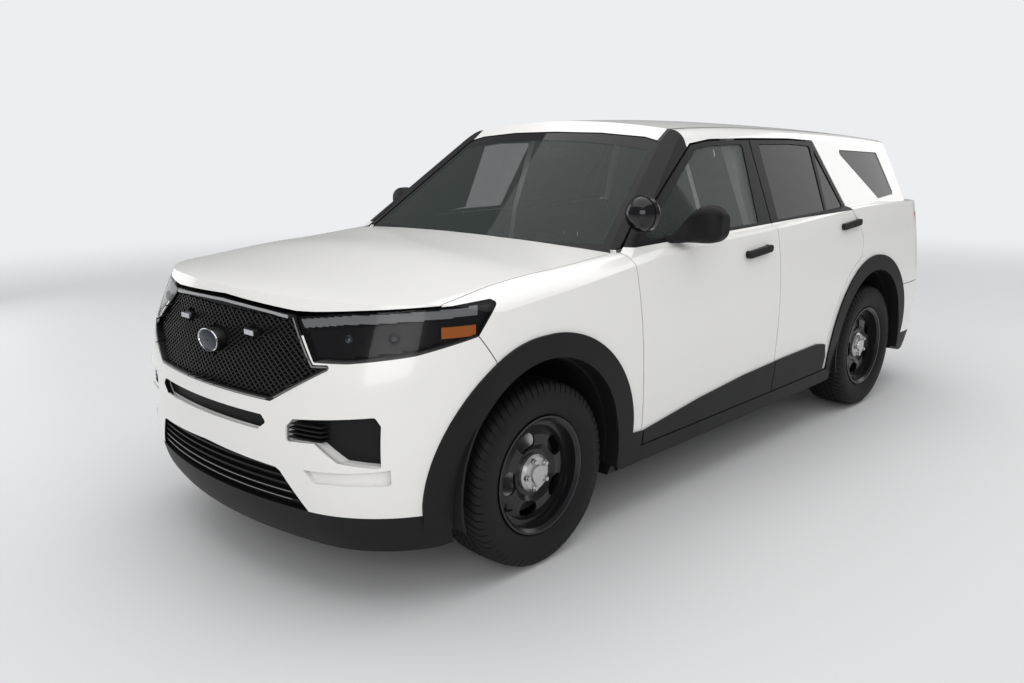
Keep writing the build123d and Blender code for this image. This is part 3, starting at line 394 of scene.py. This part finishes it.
def tube(points, radius, sides):
    """A round bar along points; radius is a number or one per point."""
    points = [Vector(p) for p in points]
    radii = radius if isinstance(radius, (list, tuple)) else [radius] * len(points)
    verts = []
    up = Vector((0.13, 0.21, 0.97))
    for i, p in enumerate(points):
        along = (points[min(i + 1, len(points) - 1)] - points[max(i - 1, 0)]).normalized()
        u = along.cross(up).normalized()
        w = along.cross(u)
        verts += [p + v for v in circle(sides, radii[i] * u, radii[i] * w)]
    faces = ring_faces(len(points), sides)
    faces.append(list(range(sides))[::-1])
    faces.append([(len(points) - 1) * sides + j for j in range(sides)])
    return verts, faces


def bar(points, width, depth, normal):
    """A strip of rectangular section along points; normal says which way its flat face looks."""
    points = [Vector(p) for p in points]
    n = Vector(normal).normalized()
    verts = []
    for i, p in enumerate(points):
        along = (points[min(i + 1, len(points) - 1)] - points[max(i - 1, 0)]).normalized()
        u = along.cross(n).normalized() * width / 2
        w = n * depth / 2
        verts += [p + u + w, p - u + w, p - u - w, p + u - w]
    faces = ring_faces(len(points), 4)
    faces += [[3, 2, 1, 0], [len(verts) - 4 + j for j in range(4)]]
    return verts, faces


def prism(outline, move, bevel):
    """Joins an outline to a copy moved along a vector, with a slightly smaller front for a soft edge."""
    move = Vector(move)
    middle = sum(outline, Vector()) / len(outline)
    rows = [outline, [p + move * (1 - bevel) for p in outline]]
    rows.append([middle + move + (p - middle) * (1 - bevel * 0.6) for p in outline])
    n = len(outline)
    verts = [p for row in rows for p in row]
    faces = ring_faces(len(rows), n)
    faces.append(list(range(n))[::-1])
    faces.append([(len(rows) - 1) * n + j for j in range(n)])
    return verts, faces


trees = {}
AHEAD_Y = -3.2


def hit(name, origin, direction):
    """Where a ray first meets a CAD node, or None."""
    if name not in trees:
        mesh = nodes[name].data
        mesh.calc_loop_triangles()
        trees[name] = BVHTree.FromPolygons(
            [v.co for v in mesh.vertices], [t.vertices for t in mesh.loop_triangles]
        )
    return trees[name].ray_cast(Vector(origin), Vector(direction))[0]


def on_front(name, x, z, lift=0.0):
    """The point of a front panel at x, z."""
    at = hit(name, (x, AHEAD_Y, z), (0, 1, 0))
    return at + Vector((0, -lift, 0)) if at else None


# Wheels.
CARCASS = [
    (-0.0946, 0.2294), (-0.0966, 0.2424), (-0.108, 0.2475), (-0.1165, 0.262), (-0.1235, 0.285),
    (-0.1268, 0.306), (-0.1262, 0.327), (-0.1215, 0.345), (-0.114, 0.3585), (-0.1035, 0.3665),
    (-0.085, 0.3705), (-0.04, 0.3728), (0.0, 0.3735),
]
CARCASS += [(-x, r) for x, r in reversed(CARCASS[:-1])]
BEAD_R = CARCASS[0][1]
CARCASS_STEPS = 132
PITCHES = 66
TREAD_DEPTH = 0.0105
TREAD_LIFT, TREAD_DROP = 0.0006, 0.0034
SHOULDER = [(0.1085, 0.3715), (0.119, 0.3585), (0.1246, 0.3425)]
# A rib of the tread: its two edges, the share of a pitch that a block fills, its skew and its side.
RIBS = [
    (-0.086, -0.055, 0.80, 1.6, -1),
    (-0.049, -0.020, 0.74, 5.0, 0),
    (-0.014, 0.014, 0.80, -4.0, 0),
    (0.020, 0.049, 0.74, 5.0, 0),
    (0.055, 0.086, 0.80, 1.6, 1),
]
RIB_SHIFT = 0.37


def crown(x):
    """Radius of the tread's outer surface at x from the tyre's middle."""
    return TYRE_R - TREAD_LIFT - TREAD_DROP * (abs(x) / 0.09) ** 2.6


def tread_block(x0, x1, a0, a1, skew, shoulder=0):
    """One tread block between two widths and two angles; a shoulder block also wraps down the side."""
    section = [(x0 + (x1 - x0) * k / 3, crown(x0 + (x1 - x0) * k / 3)) for k in range(4)]
    if shoulder:
        section += [(shoulder * x, r) for x, r in SHOULDER]
    inner = [(x * 0.97, r - TREAD_DEPTH) for x, r in section]
    rows = []
    for part in (section, inner):
        for a in (a0, a1):
            row = []
            for x, r in part:
                turn = a + skew * (x - x0)
                row.append((x, r * math.cos(turn), r * math.sin(turn)))
            rows.append(row)
    n = len(section)
    verts = rows[0] + rows[1] + rows[3] + rows[2]
    faces = []
    for row in (0, 1, 3):
        a, b = row * n, ((row + 1) % 4) * n
        faces += [[a + j, a + j + 1, b + j + 1, b + j] for j in range(n - 1)]
    faces += [[0, n, 2 * n, 3 * n], [n - 1, 2 * n - 1, 3 * n - 1, 4 * n - 1]]
    return verts, faces


def outward(centre, sign, verts):
    """Points given from a wheel's middle, with X pointing away from the car."""
    return [centre + Vector((sign * v[0], v[1], v[2])) for v in verts]


def tyre(end, side, sign):
    """Carcass and tread blocks of one tyre."""
    centre = Vector((sign * WHEEL_X, AXLE_Y[end], TYRE_R))
    b = Build()
    closed = [(sign * x, r) for x, r in CARCASS + [(0.0, BEAD_R)]]
    b.add(*lathe(closed, centre, CARCASS_STEPS, close=True))
    step = 2 * math.pi / PITCHES
    for i in range(PITCHES):
        for k, (x0, x1, share, skew, shoulder) in enumerate(RIBS):
            a = step * (i + RIB_SHIFT * k)
            if shoulder < 0:
                verts, faces = tread_block(x1, x0, a, a + step * share, -skew, -1)
            else:
                verts, faces = tread_block(x0, x1, a, a + step * share, skew, shoulder)
            b.add(outward(centre, sign, verts), faces)
    o = b.make(f"tread_{end}_{side}", f"wheel_{end}_{side}", rubber, "tyre")
    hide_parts(f"tyre_{end}_{side}")


STUDS, STUD_START, STUD_CIRCLE_R = 5, math.pi / 2 + 0.35, 0.0572
# A stud's seat and its nut: radius, inner and outer end, and corners.
STUD_STEPS = [(0.0150, 0.066, 0.090, 18), (0.0105, 0.088, 0.099, 6)]
CAP_DOME = [
    (0.094, 0.0001), (0.0965, 0.012), (0.0968, 0.020), (0.0955, 0.027), (0.090, 0.031), (0.084, 0.033),
]
VALVE_TURN, VALVE_X, VALVE_R = math.radians(216), 0.060, 0.196


def wheel_details(end, side, sign):
    """The cap's studs and dome, and the valve."""
    centre = Vector((sign * WHEEL_X, AXLE_Y[end], TYRE_R))
    y, z = Vector((0, 1, 0)), Vector((0, 0, 1))
    cap, valve = Build(), Build()
    for middle in circle(STUDS, STUD_CIRCLE_R * y, STUD_CIRCLE_R * z, STUD_START):
        for r, x0, x1, corners in STUD_STEPS:
            ring = [Vector((x0, 0, 0)) + middle + v for v in circle(corners, r * y, r * z)]
            verts, faces = prism(ring, (x1 - x0, 0, 0), 0.22)
            cap.add(outward(centre, sign, verts), faces)
    cap.add(*lathe([(sign * x, r) for x, r in CAP_DOME], centre, 48))
    cap.make(f"cap_detail_{end}_{side}", f"wheel_{end}_{side}", cap_silver, "bare_steel")
    radial = math.cos(VALVE_TURN) * y + math.sin(VALVE_TURN) * z
    foot = centre + sign * Vector((VALVE_X, 0, 0)) + VALVE_R * radial
    tip = foot + sign * Vector((0.030, 0, 0)) - 0.012 * radial
    valve.add(*tube([foot, foot.lerp(tip, 0.5), tip], [0.006, 0.0045, 0.0042], 12))
    valve.make(f"valve_{end}_{side}", f"wheel_{end}_{side}", black_trim, "tyre")


for end in ENDS:
    for side, sign in SIDES:
        tyre(end, side, sign)
        wheel_details(end, side, sign)


# Grille, badge and lamps.
# The grille's left half, as (x, z); the mesh stands in its frame, clear of the badge and lamps.
GRILLE = [(0.440, 1.076), (0.590, 0.922), (0.684, 0.928), (0.418, 0.772)]
GRILLE_ALL = [(-x, z) for x, z in reversed(GRILLE)] + GRILLE
GRILLE_RIM = 0.012
CELL_W, CELL_H = 0.031, 0.021
WIRE_W, WIRE_DEEP, WIRE_LIFT = 0.0042, 0.010, 0.011
WIRE_STEP, WIRE_REACH = 0.0125, 80
BADGE_Y, BADGE_Z = -2.480, 0.936
BADGE_RX, BADGE_RZ = 0.076, 0.046
BADGE_ROOM = 0.006
LAMP_X0, LAMP_X1, LAMP_Z0, LAMP_Z1 = 0.214, 0.276, 0.986, 1.005
LAMP_ROOM = 0.010


def inside(poly, x, z, margin):
    """True if a point lies in a polygon, further than margin from its edges."""
    odd = False
    for (x0, z0), (x1, z1) in zip(poly, poly[1:] + poly[:1]):
        if (z0 > z) != (z1 > z) and x < (x1 - x0) * (z - z0) / (z1 - z0) + x0:
            odd = not odd
        dx, dz = x1 - x0, z1 - z0
        t = max(0, min(1, ((x - x0) * dx + (z - z0) * dz) / (dx * dx + dz * dz)))
        if math.hypot(x - x0 - t * dx, z - z0 - t * dz) < margin:
            return False
    return odd


def open_field(x, z):
    """True where the grille mesh shows: in its frame, clear of the badge and the small lamps."""
    across, over = x / (BADGE_RX + BADGE_ROOM), (z - BADGE_Z) / (BADGE_RZ + BADGE_ROOM)
    on_badge = across ** 2 + over ** 2 < 1
    on_lamp = (LAMP_X0 - LAMP_ROOM < abs(x) < LAMP_X1 + LAMP_ROOM
               and LAMP_Z0 - LAMP_ROOM < z < LAMP_Z1 + LAMP_ROOM)
    return inside(GRILLE_ALL, x, z, GRILLE_RIM) and not on_badge and not on_lamp


def wires():
    """The grille's crossing wires, each in the runs that lie in the open field."""
    b = Build()
    for direction in (-1, 1):
        for k in range(-60, 61):
            run = []
            for i in range(-WIRE_REACH, WIRE_REACH + 1):
                x = i * WIRE_STEP
                z = BADGE_Z + direction * CELL_H / CELL_W * (x - k * CELL_W)
                clear = open_field(x, z)
                at = on_front("grille", x, z, WIRE_LIFT) if clear else None
                if at:
                    run.append(at)
                if len(run) > 1 and not clear:
                    b.add(*bar(run, WIRE_W, WIRE_DEEP, (0, 1, 0)))
                if not clear:
                    run = []
    return b


wires().make("grille_mesh", CHASSIS, black_satin, "black_trim", smooth=False)

# Rings of the badge's rim and face: a share of its outline and how far they stand out.
RIM = [(0.992, 0.0), (0.985, 0.0045), (0.955, 0.0060), (0.915, 0.0050), (0.895, 0.0020)]
FACE = [(0.893, 0.0012), (0.80, 0.0026), (0.55, 0.0044), (0.30, 0.0052), (0.06, 0.0055)]
BADGE_STEPS = 72
for name, rows, m in (("badge_rim", RIM, chrome), ("badge_face", FACE, made["badge_face"])):
    b = Build()
    verts = []
    for share, out in rows:
        middle = Vector((0, BADGE_Y - out, BADGE_Z))
        span = Vector((BADGE_RX * share, 0, 0)), Vector((0, 0, BADGE_RZ * share))
        verts += [middle + v for v in circle(BADGE_STEPS, *span)]
    b.add(verts, ring_faces(len(rows), BADGE_STEPS))
    b.make(name, CHASSIS, m, "bare_steel")


STRIP_STEP = 0.02


def strip(name, points, node_name, width, depth, lift, m):
    """A bright strip along a polyline of the front, laid on a CAD node's skin."""
    run = []
    for (x0, z0), (x1, z1) in zip(points, points[1:]):
        count = max(2, round(math.hypot(x1 - x0, z1 - z0) / STRIP_STEP))
        for i in range(count):
            t = i / count
            at = on_front(node_name, x0 + (x1 - x0) * t, z0 + (z1 - z0) * t, lift)
            if at:
                run.append(at)
    b = Build()
    b.add(*bar(run, width, depth, (0, 1, 0)))
    b.make(name, CHASSIS, m, "bare_steel")


TOP_HALF = [(0.15, 1.0815), (0.30, 1.0750), (0.432, 1.0665)]
TOP_EDGE = [(-x, z) for x, z in reversed(TOP_HALF)] + [(0.0, 1.0850)] + TOP_HALF
LOW_EDGE = [(0.437, 1.066), (0.5865, 0.9155), (0.668, 0.921), (0.4165, 0.777)]
FOOT = [(-0.4165, 0.777), (0.4165, 0.777)]
# Satin strips along the fronts of the two lower intake slats are painted highlights: they stand in for
# light caught by the black slats' top edges.
SLAT_HIGHLIGHT_X, SLAT_HIGHLIGHT_Z = 0.50, (0.402, 0.432)
strip("grille_chrome", TOP_EDGE, "grille", 0.0125, 0.003, 0.0010, satin_chrome)
for side, sign in SIDES:
    edge = [(sign * x, z) for x, z in LOW_EDGE]
    strip(f"grille_line_{side}", edge, "grille", 0.0055, 0.003, 0.0008, satin_trim_and_painted_highlight)
strip("grille_line_low", FOOT, "grille", 0.0055, 0.003, 0.0008, satin_trim_and_painted_highlight)
for z in SLAT_HIGHLIGHT_Z:
    line = [(-SLAT_HIGHLIGHT_X, z), (SLAT_HIGHLIGHT_X, z)]
    strip(f"painted_slat_highlight_{round(z * 1000)}", line, "front_inserts", 0.003, 0.002, 0.0006, satin_trim_and_painted_highlight)

small = Build()
for sign in (-1, 1):
    corners = [(LAMP_X0, LAMP_Z0), (LAMP_X1, LAMP_Z0), (LAMP_X1, LAMP_Z1), (LAMP_X0, LAMP_Z1)]
    found = [on_front("grille", sign * x, z) for x, z in corners]
    ahead = min(c.y for c in found)
    small.add(*prism([Vector((c.x, ahead, c.z)) for c in found], (0, -0.004, 0), 0.12))
small.make("grille_lamp_faces", CHASSIS, made["lens_clear"], "bare_steel", smooth=False)

# Headlamps, seen from the front left corner, as ((x + y) / sqrt 2, z).
LAMP = [(-1.352, 1.072), (-1.160, 1.100), (-0.960, 1.112), (-0.655, 1.124), (-0.632, 1.112),
        (-0.700, 1.006), (-0.916, 0.960), (-1.150, 0.934), (-1.278, 0.930)]
ROOT2 = math.sqrt(2)
LAMP_LEFT, LAMP_WIDE, LAMP_FOOT, LAMP_HIGH = -1.36, 0.77, 0.925, 0.21
LAMP_EDGE = 0.008
# Height of a grid row, as a share of the grid's step.
ROW_SHARE = 0.8


def lamp_at(sign, across, z, deep):
    """A point under the lamp's skin, seen from the corner, or None."""
    ahead = Vector((sign, -1, 0)) / ROOT2
    origin = Vector((sign * across / ROOT2, across / ROOT2, z)) + ahead * 3
    at = hit("headlamps", origin, -ahead)
    return at - ahead * deep if at else None


def lamp_sheet(sign, keep_point, deep, step):
    """A sheet under the lamp's skin, made of the grid cells whose corners all pass a test."""
    verts, faces, index = [], [], {}
    row = step * ROW_SHARE
    for i in range(round(LAMP_WIDE / step)):
        for j in range(round(LAMP_HIGH / row)):
            across, z = LAMP_LEFT + i * step, LAMP_FOOT + j * row
            if inside(LAMP, across, z, LAMP_EDGE) and keep_point(across, z):
                at = lamp_at(sign, across, z, deep)
                if at:
                    index[i, j] = len(verts)
                    verts.append(at)
    for i, j in index:
        cell = [(i, j), (i + 1, j), (i + 1, j + 1), (i, j + 1)]
        if all(corner in index for corner in cell):
            faces.append([index[corner] for corner in cell])
    return verts, faces


def lamp_roof(across):
    """Height of the lamp's upper edge."""
    for (s0, z0), (s1, z1) in zip(LAMP[:4], LAMP[1:4]):
        if s0 <= across <= s1:
            return z0 + (z1 - z0) * (across - s0) / (s1 - s0)
    return LAMP[3][1]


def on_brow(across, z):
    """The pale strip along the lamp's upper edge."""
    return lamp_roof(across) - 0.042 < z and across < -0.70


def on_reflector(across, z):
    """The amber reflector at the lamp's outer end."""
    return -0.83 < across < -0.705 and 1.010 < z < 1.050


# What lies under the lamp's skin: name, material, test, depth and grid step.
LAMP_SHEETS = [
    ("bucket", "lamp_bucket", lambda across, z: True, 0.034, 0.012),
    ("brow", "lamp_strip", on_brow, 0.012, 0.005),
    ("amber", "amber_reflector", on_reflector, 0.006, 0.006),
]
PROJECTORS = [(-1.150, 1.008), (-0.990, 1.016)]
PROJECTOR_R, PROJECTOR_DEEP = 0.021, 0.030
# Rings of a projector: how far they stand out and their share of its radius.
PROJECTOR = [
    (0.0, 1.0), (0.010, 0.98), (0.014, 0.86), (0.006, 0.80), (0.010, 0.6), (0.014, 0.35), (0.0155, 0.02),
]
for side, sign in SIDES:
    for name, made_name, test, deep, step in LAMP_SHEETS:
        b = Build()
        b.add(*lamp_sheet(sign, test, deep, step))
        b.make(f"lamp_{name}_{side}", CHASSIS, made[made_name], "lamp_smoke")
    lenses = Build()
    ahead = Vector((sign * 0.62, -1, 0)).normalized()
    u = ahead.cross(Vector((0, 0, 1))).normalized()
    w = ahead.cross(u)
    for across, z in PROJECTORS:
        at = lamp_at(sign, across, z, PROJECTOR_DEEP)
        verts = []
        for out, share in PROJECTOR:
            r = PROJECTOR_R * share
            verts += [at + ahead * out + v for v in circle(32, r * u, r * w)]
        lenses.add(verts, ring_faces(len(PROJECTOR), 32))
    lenses.make(f"lamp_lens_{side}", CHASSIS, made["lens_dark"], "lamp_smoke")


# Cabin and small fittings.
SEAM_HALF, SEAM_DEEP = 0.006, 0.007
CROWN_FALL = 0.10


def rounded(at, half, lean, cells, power, dips=(), dip=0.0, seams=(), channels=(), pinch=0.0):
    """A closed, crowned, rounded form; lean turns it about X, from lying flat to standing up.

    dips are the middles and half widths of hollows across its face. Seams run along it and channels
    across it. All are fractions of its half size.
    """
    nx, ny, nz = cells
    index, verts, faces = {}, [], []
    along = Vector((0, math.cos(lean), math.sin(lean)))
    out = Vector((0, -math.sin(lean), math.cos(lean)))

    def vertex(*cell):
        """Number of the vertex at a corner of the grid, made when it is first asked for."""
        if cell not in index:
            p = Vector([2 * c / n - 1 for c, n in zip(cell, cells)])
            p /= sum(abs(c) ** power for c in p) ** (1 / power)
            up = p.z
            if up > 0:
                low = sum(math.exp(-((p.x - x) / w) ** 4) for x, w in dips)
                groove = sum(math.exp(-((p.x - x) * half[0] / SEAM_HALF) ** 2) for x in seams)
                groove += sum(math.exp(-((p.y - y) * half[1] / SEAM_HALF) ** 2) for y in channels)
                up *= 1 - dip * min(low, 1) - min(groove, 1) * SEAM_DEEP / half[2]
                up *= 1 - CROWN_FALL * p.y * p.y
            wide = half[0] * p.x * (1 - pinch * (1 - p.y * p.y))
            index[cell] = len(verts)
            verts.append(Vector(at) + Vector((wide, 0, 0)) + half[1] * p.y * along + half[2] * up * out)
        return index[cell]

    def quad(*corners):
        """A face between four corners of the grid."""
        faces.append([vertex(*c) for c in corners])

    for i in range(nx):
        for j in range(ny):
            for k in (0, nz):
                quad((i, j, k), (i + 1, j, k), (i + 1, j + 1, k), (i, j + 1, k))
        for k in range(nz):
            for j in (0, ny):
                quad((i, j, k), (i + 1, j, k), (i + 1, j, k + 1), (i, j, k + 1))
    for j in range(ny):
        for k in range(nz):
            for i in (0, nx):
                quad((i, j, k), (i, j + 1, k), (i, j + 1, k + 1), (i, j, k + 1))
    return verts, faces


# The seat's back leans by this angle, in radians, from upright.
BACK_LEAN = 0.2335
UPRIGHT = math.pi / 2 - BACK_LEAN
# Of a cushion and a back: name, place behind the seat's middle, height, half length, half
# thickness, lean, depth of the hollows and places of the channels.
PADS = [
    ("cushion", -0.070, 0.523, 0.188, 0.083, 0.0, 0.20, (-0.35, 0.25)),
    ("back", 0.267, 0.790, 0.308, 0.060, UPRIGHT, 0.24, (-0.30, 0.12, 0.50)),
]
HEAD_Y, HEAD_Z, HEAD_HALF = 0.362, 1.190, (0.122, 0.078, 0.050)
ROD_X, ROD_R = 0.055, 0.006
ROD_FOOT, ROD_TOP = (0.330, 1.060), (0.352, 1.150)
FOOT_Z, FOOT_HALF_Y, FOOT_HALF_Z, FOOT_SHARE = 0.3765, 0.178, 0.057, 0.7


def soft_pad(name, replaced, form):
    """A padded piece that stands for a CAD seat."""
    b = Build()
    b.add(*form)
    o = b.make(name, CHASSIS, seat_cloth, "seat_cloth")
    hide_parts(replaced)


def seat_pads(label, replaced, x, y, half_x, heads, dips, seams, cells_x):
    """Cushion, back and head rests of a seat, with its foot and the head rests' rods."""
    for kind, dy, z, half_y, half_z, lean, dip, channels in PADS:
        half, cells = (half_x, half_y, half_z), (cells_x, 64, 12)
        form = rounded((x, y + dy, z), half, lean, cells, 7, dips, dip, seams, channels, 0.02)
        soft_pad(f"{label}_{kind}", replaced, form)
    rods = Build()
    for n, head in enumerate(heads):
        middle = (x + head, y + HEAD_Y, HEAD_Z)
        form = rounded(middle, HEAD_HALF, UPRIGHT, (34, 26, 16), 4, channels=(0.0,), pinch=0.03)
        soft_pad(f"{label}_head_{n + 1}", replaced, form)
        for side in (-ROD_X, ROD_X):
            ends = [(x + head + side, y + dy, z) for dy, z in (ROD_FOOT, ROD_TOP)]
            rods.add(*tube(ends, ROD_R, 12))
    rods.make(f"{label}_rods", CHASSIS, chrome, "bare_steel")
    foot = Build()
    foot_half = (half_x * FOOT_SHARE, FOOT_HALF_Y, FOOT_HALF_Z)
    foot.add(*rounded((x, y, FOOT_Z), foot_half, 0.0, (20, 14, 6), 10))
    foot.make(f"{label}_foot", CHASSIS, dash_plastic, "black_trim")


for side, sign in SIDES:
    seat_pads(f"seat_{side}", "front_seats", sign * 0.380, -0.200, 0.256, (0.0,),
              ((0.0, 0.62),), (-0.66, 0.66), 90)
seat_pads("bench", "rear_seat", 0.0, 0.680, 0.612, (-0.370, 0.370),
          ((-0.58, 0.26), (0.58, 0.26)), (-0.2, 0.2, -0.9, 0.9), 150)

STALK = [(0, -0.478, 1.612), (0, -0.492, 1.640), (0, -0.488, 1.655)]
mirror = Build()
mirror.add(*rounded((0, -0.468, 1.598), (0.118, 0.030, 0.014), math.pi / 2 - 0.1, (24, 10, 6), 5))
mirror.add(*tube(STALK, [0.011, 0.010, 0.016], 12))
mirror.make("cabin_mirror", CHASSIS, black_satin, "black_trim")

# Where each wiper's blade starts and ends across the windshield.
WIPERS = [(0.60, 0.06), (-0.06, -0.58)]
WIPER_Z, WIPER_BOW, WIPER_RISE, WIPER_LIFT = 1.207, 0.064, 0.004, 0.006
WIPER_POINTS = 15
ARM_FROM, ARM_TO = 0.30, 0.75
for k, (x0, x1) in enumerate(WIPERS):
    blade, arm = [], []
    for i in range(WIPER_POINTS):
        t = i / (WIPER_POINTS - 1)
        z = WIPER_Z + WIPER_BOW * t * (1 - t) + WIPER_RISE * t
        at = on_front("windshield", x0 + (x1 - x0) * t, z, WIPER_LIFT)
        if at:
            blade.append(at)
            if ARM_FROM < t < ARM_TO:
                arm.append(at + Vector((0, -0.008, 0.006)))
    wiper = Build()
    wiper.add(*bar(blade, 0.010, 0.007, (0, -0.6, 0.8)))
    wiper.add(*tube(arm, 0.005, 10))
    wiper.make(f"wiper_{k + 1}", CHASSIS, black_trim, "black_trim")

BALL, ROD_END = Vector((0.930, -0.930, 1.368)), Vector((0.826, -0.790, 1.352))
# The sleeve's sections: distance from the ball's middle and radius.
SLEEVE = [
    (0.074, 0.020), (0.080, 0.024), (0.084, 0.019), (0.112, 0.017), (0.116, 0.021), (0.120, 0.014),
]
rod = (ROD_END - BALL).normalized()
sleeve = Build()
sleeve.add(*tube([BALL + rod * d for d, r in SLEEVE], [r for d, r in SLEEVE], 28))
sleeve.make("spotlight_sleeve", CHASSIS, chrome, "bare_steel")
RING_R, RING_THICK, RING_WIDE = 0.0775, 0.0013, 0.0025
aim = Vector((0.25, -0.95, 0.05)).normalized()
across = aim.cross(Vector((0, 0, 1))).normalized()
over = aim.cross(across)
ring = Build()
for k in range(8):
    t = 2 * math.pi * k / 8
    r = RING_R + RING_THICK * math.cos(t)
    middle = BALL + RING_WIDE * math.sin(t) * aim
    ring.verts += [middle + v for v in circle(96, r * across, r * over)]
ring.faces = ring_faces(8, 96, True)
ring.make("spotlight_ring", CHASSIS, satin_trim_and_painted_highlight, "bare_steel")


# Stage, light and camera.
SKY = (0.97, 0.98, 1.0)
# Strength of the backdrop for the camera, and of the world as a light and in reflections.
BACKDROP, SKY_LIGHT, SKY_SHINE = 0.87, 0.78, 0.28
FADE_FROM, FADE_TO = 4.5, 12.0


def fading_floor():
    """A pale floor that fades into the backdrop's colour with distance, for the camera only."""
    m = grain(material("studio_floor", (0.64, 0.64, 0.64), 0.5), 6, 0.02, 0.001)
    shader = m.node_tree.nodes["Principled BSDF"]
    coords = node(m, "ShaderNodeTexCoord")
    distance = node(m, "ShaderNodeVectorMath")
    distance.operation = "LENGTH"
    link(m, coords, "Object", distance, 0)
    far = node(m, "ShaderNodeMapRange")
    far.interpolation_type = "SMOOTHSTEP"
    far.inputs["From Min"].default_value = FADE_FROM
    far.inputs["From Max"].default_value = FADE_TO
    link(m, distance, "Value", far, "Value")
    paths = node(m, "ShaderNodeLightPath")
    fade = math_node(m, "MULTIPLY", (far, "Result"), (paths, "Is Camera Ray"))
    glow = node(m, "ShaderNodeEmission", Strength=BACKDROP, Color=(*SKY, 1))
    mix = node(m, "ShaderNodeMixShader")
    feed(m, fade, mix, 0)
    link(m, shader, "BSDF", mix, 1)
    link(m, glow, "Emission", mix, 2)
    link(m, mix, "Shader", m.node_tree.nodes["Material Output"], "Surface")
    return m


bpy.ops.mesh.primitive_plane_add(size=80, location=(0, 0, 0))
floor = bpy.context.object
floor.name = "studio_floor"
floor.data.materials.append(fading_floor())

world = bpy.data.worlds.new("studio")
bpy.context.scene.world = world
world.use_nodes = True
background = world.node_tree.nodes["Background"]
background.inputs["Color"].default_value = (*SKY, 1)
paths = node(world, "ShaderNodeLightPath")
level = blend(world, (paths, "Is Camera Ray"), SKY_LIGHT, BACKDROP)
dim = blend(world, (paths, "Is Glossy Ray"), 1.0, SKY_SHINE)
feed(world, math_node(world, "MULTIPLY", level, dim), background, "Strength")


def area(name, at, to, size, size_y, power):
    """A rectangular soft light that faces a point."""
    data = bpy.data.lights.new(name, "AREA")
    data.shape = "RECTANGLE"
    data.size, data.size_y, data.energy = size, size_y, power
    o = bpy.data.objects.new(name, data)
    bpy.context.scene.collection.objects.link(o)
    o.location = at
    o.rotation_mode = "QUATERNION"
    o.rotation_quaternion = (Vector(to) - Vector(at)).to_track_quat("-Z", "Y")


area("ceiling", (0, 0, 5.2), (0, 0, 0), 7.0, 9.0, 205)
area("front_left", (4.5, -6.5, 3.2), (0, -0.6, 0.7), 4.0, 3.0, 92)
area("right", (-6.0, -2.0, 3.0), (0, 0, 0.8), 3.0, 5.0, 60)
area("rear", (2.0, 7.0, 3.5), (0, 0.5, 0.8), 5.0, 3.0, 60)

# The camera solved from the photo: its place, angles, and focal length in pixels of the picture.
CAM_AT = Vector((3.260, -4.160, 1.725))
YAW, PITCH, ROLL = math.radians(133.95), math.radians(-13.05), math.radians(-0.41)
FOCAL, PICTURE_WIDE, SENSOR = 915.5, 1024, 36
level_ahead = Vector((math.cos(YAW), math.sin(YAW), 0))
forward = level_ahead * math.cos(PITCH) + Vector((0, 0, math.sin(PITCH)))
cam_data = bpy.data.cameras.new("camera")
cam_data.lens = FOCAL * SENSOR / PICTURE_WIDE
cam_data.sensor_width = SENSOR
cam = bpy.data.objects.new("camera", cam_data)
bpy.context.scene.collection.objects.link(cam)
right = forward.cross(Vector((0, 0, 1))).normalized()
up = right.cross(forward)
turned_right = right * math.cos(ROLL) + up * math.sin(ROLL)
turned_up = turned_right.cross(forward)
cam.matrix_world = Matrix((
    (turned_right.x, turned_up.x, -forward.x, CAM_AT.x),
    (turned_right.y, turned_up.y, -forward.y, CAM_AT.y),
    (turned_right.z, turned_up.z, -forward.z, CAM_AT.z),
    (0, 0, 0, 1),
))
bpy.context.scene.camera = cam
bpy.context.scene.view_settings.view_transform = "Standard"
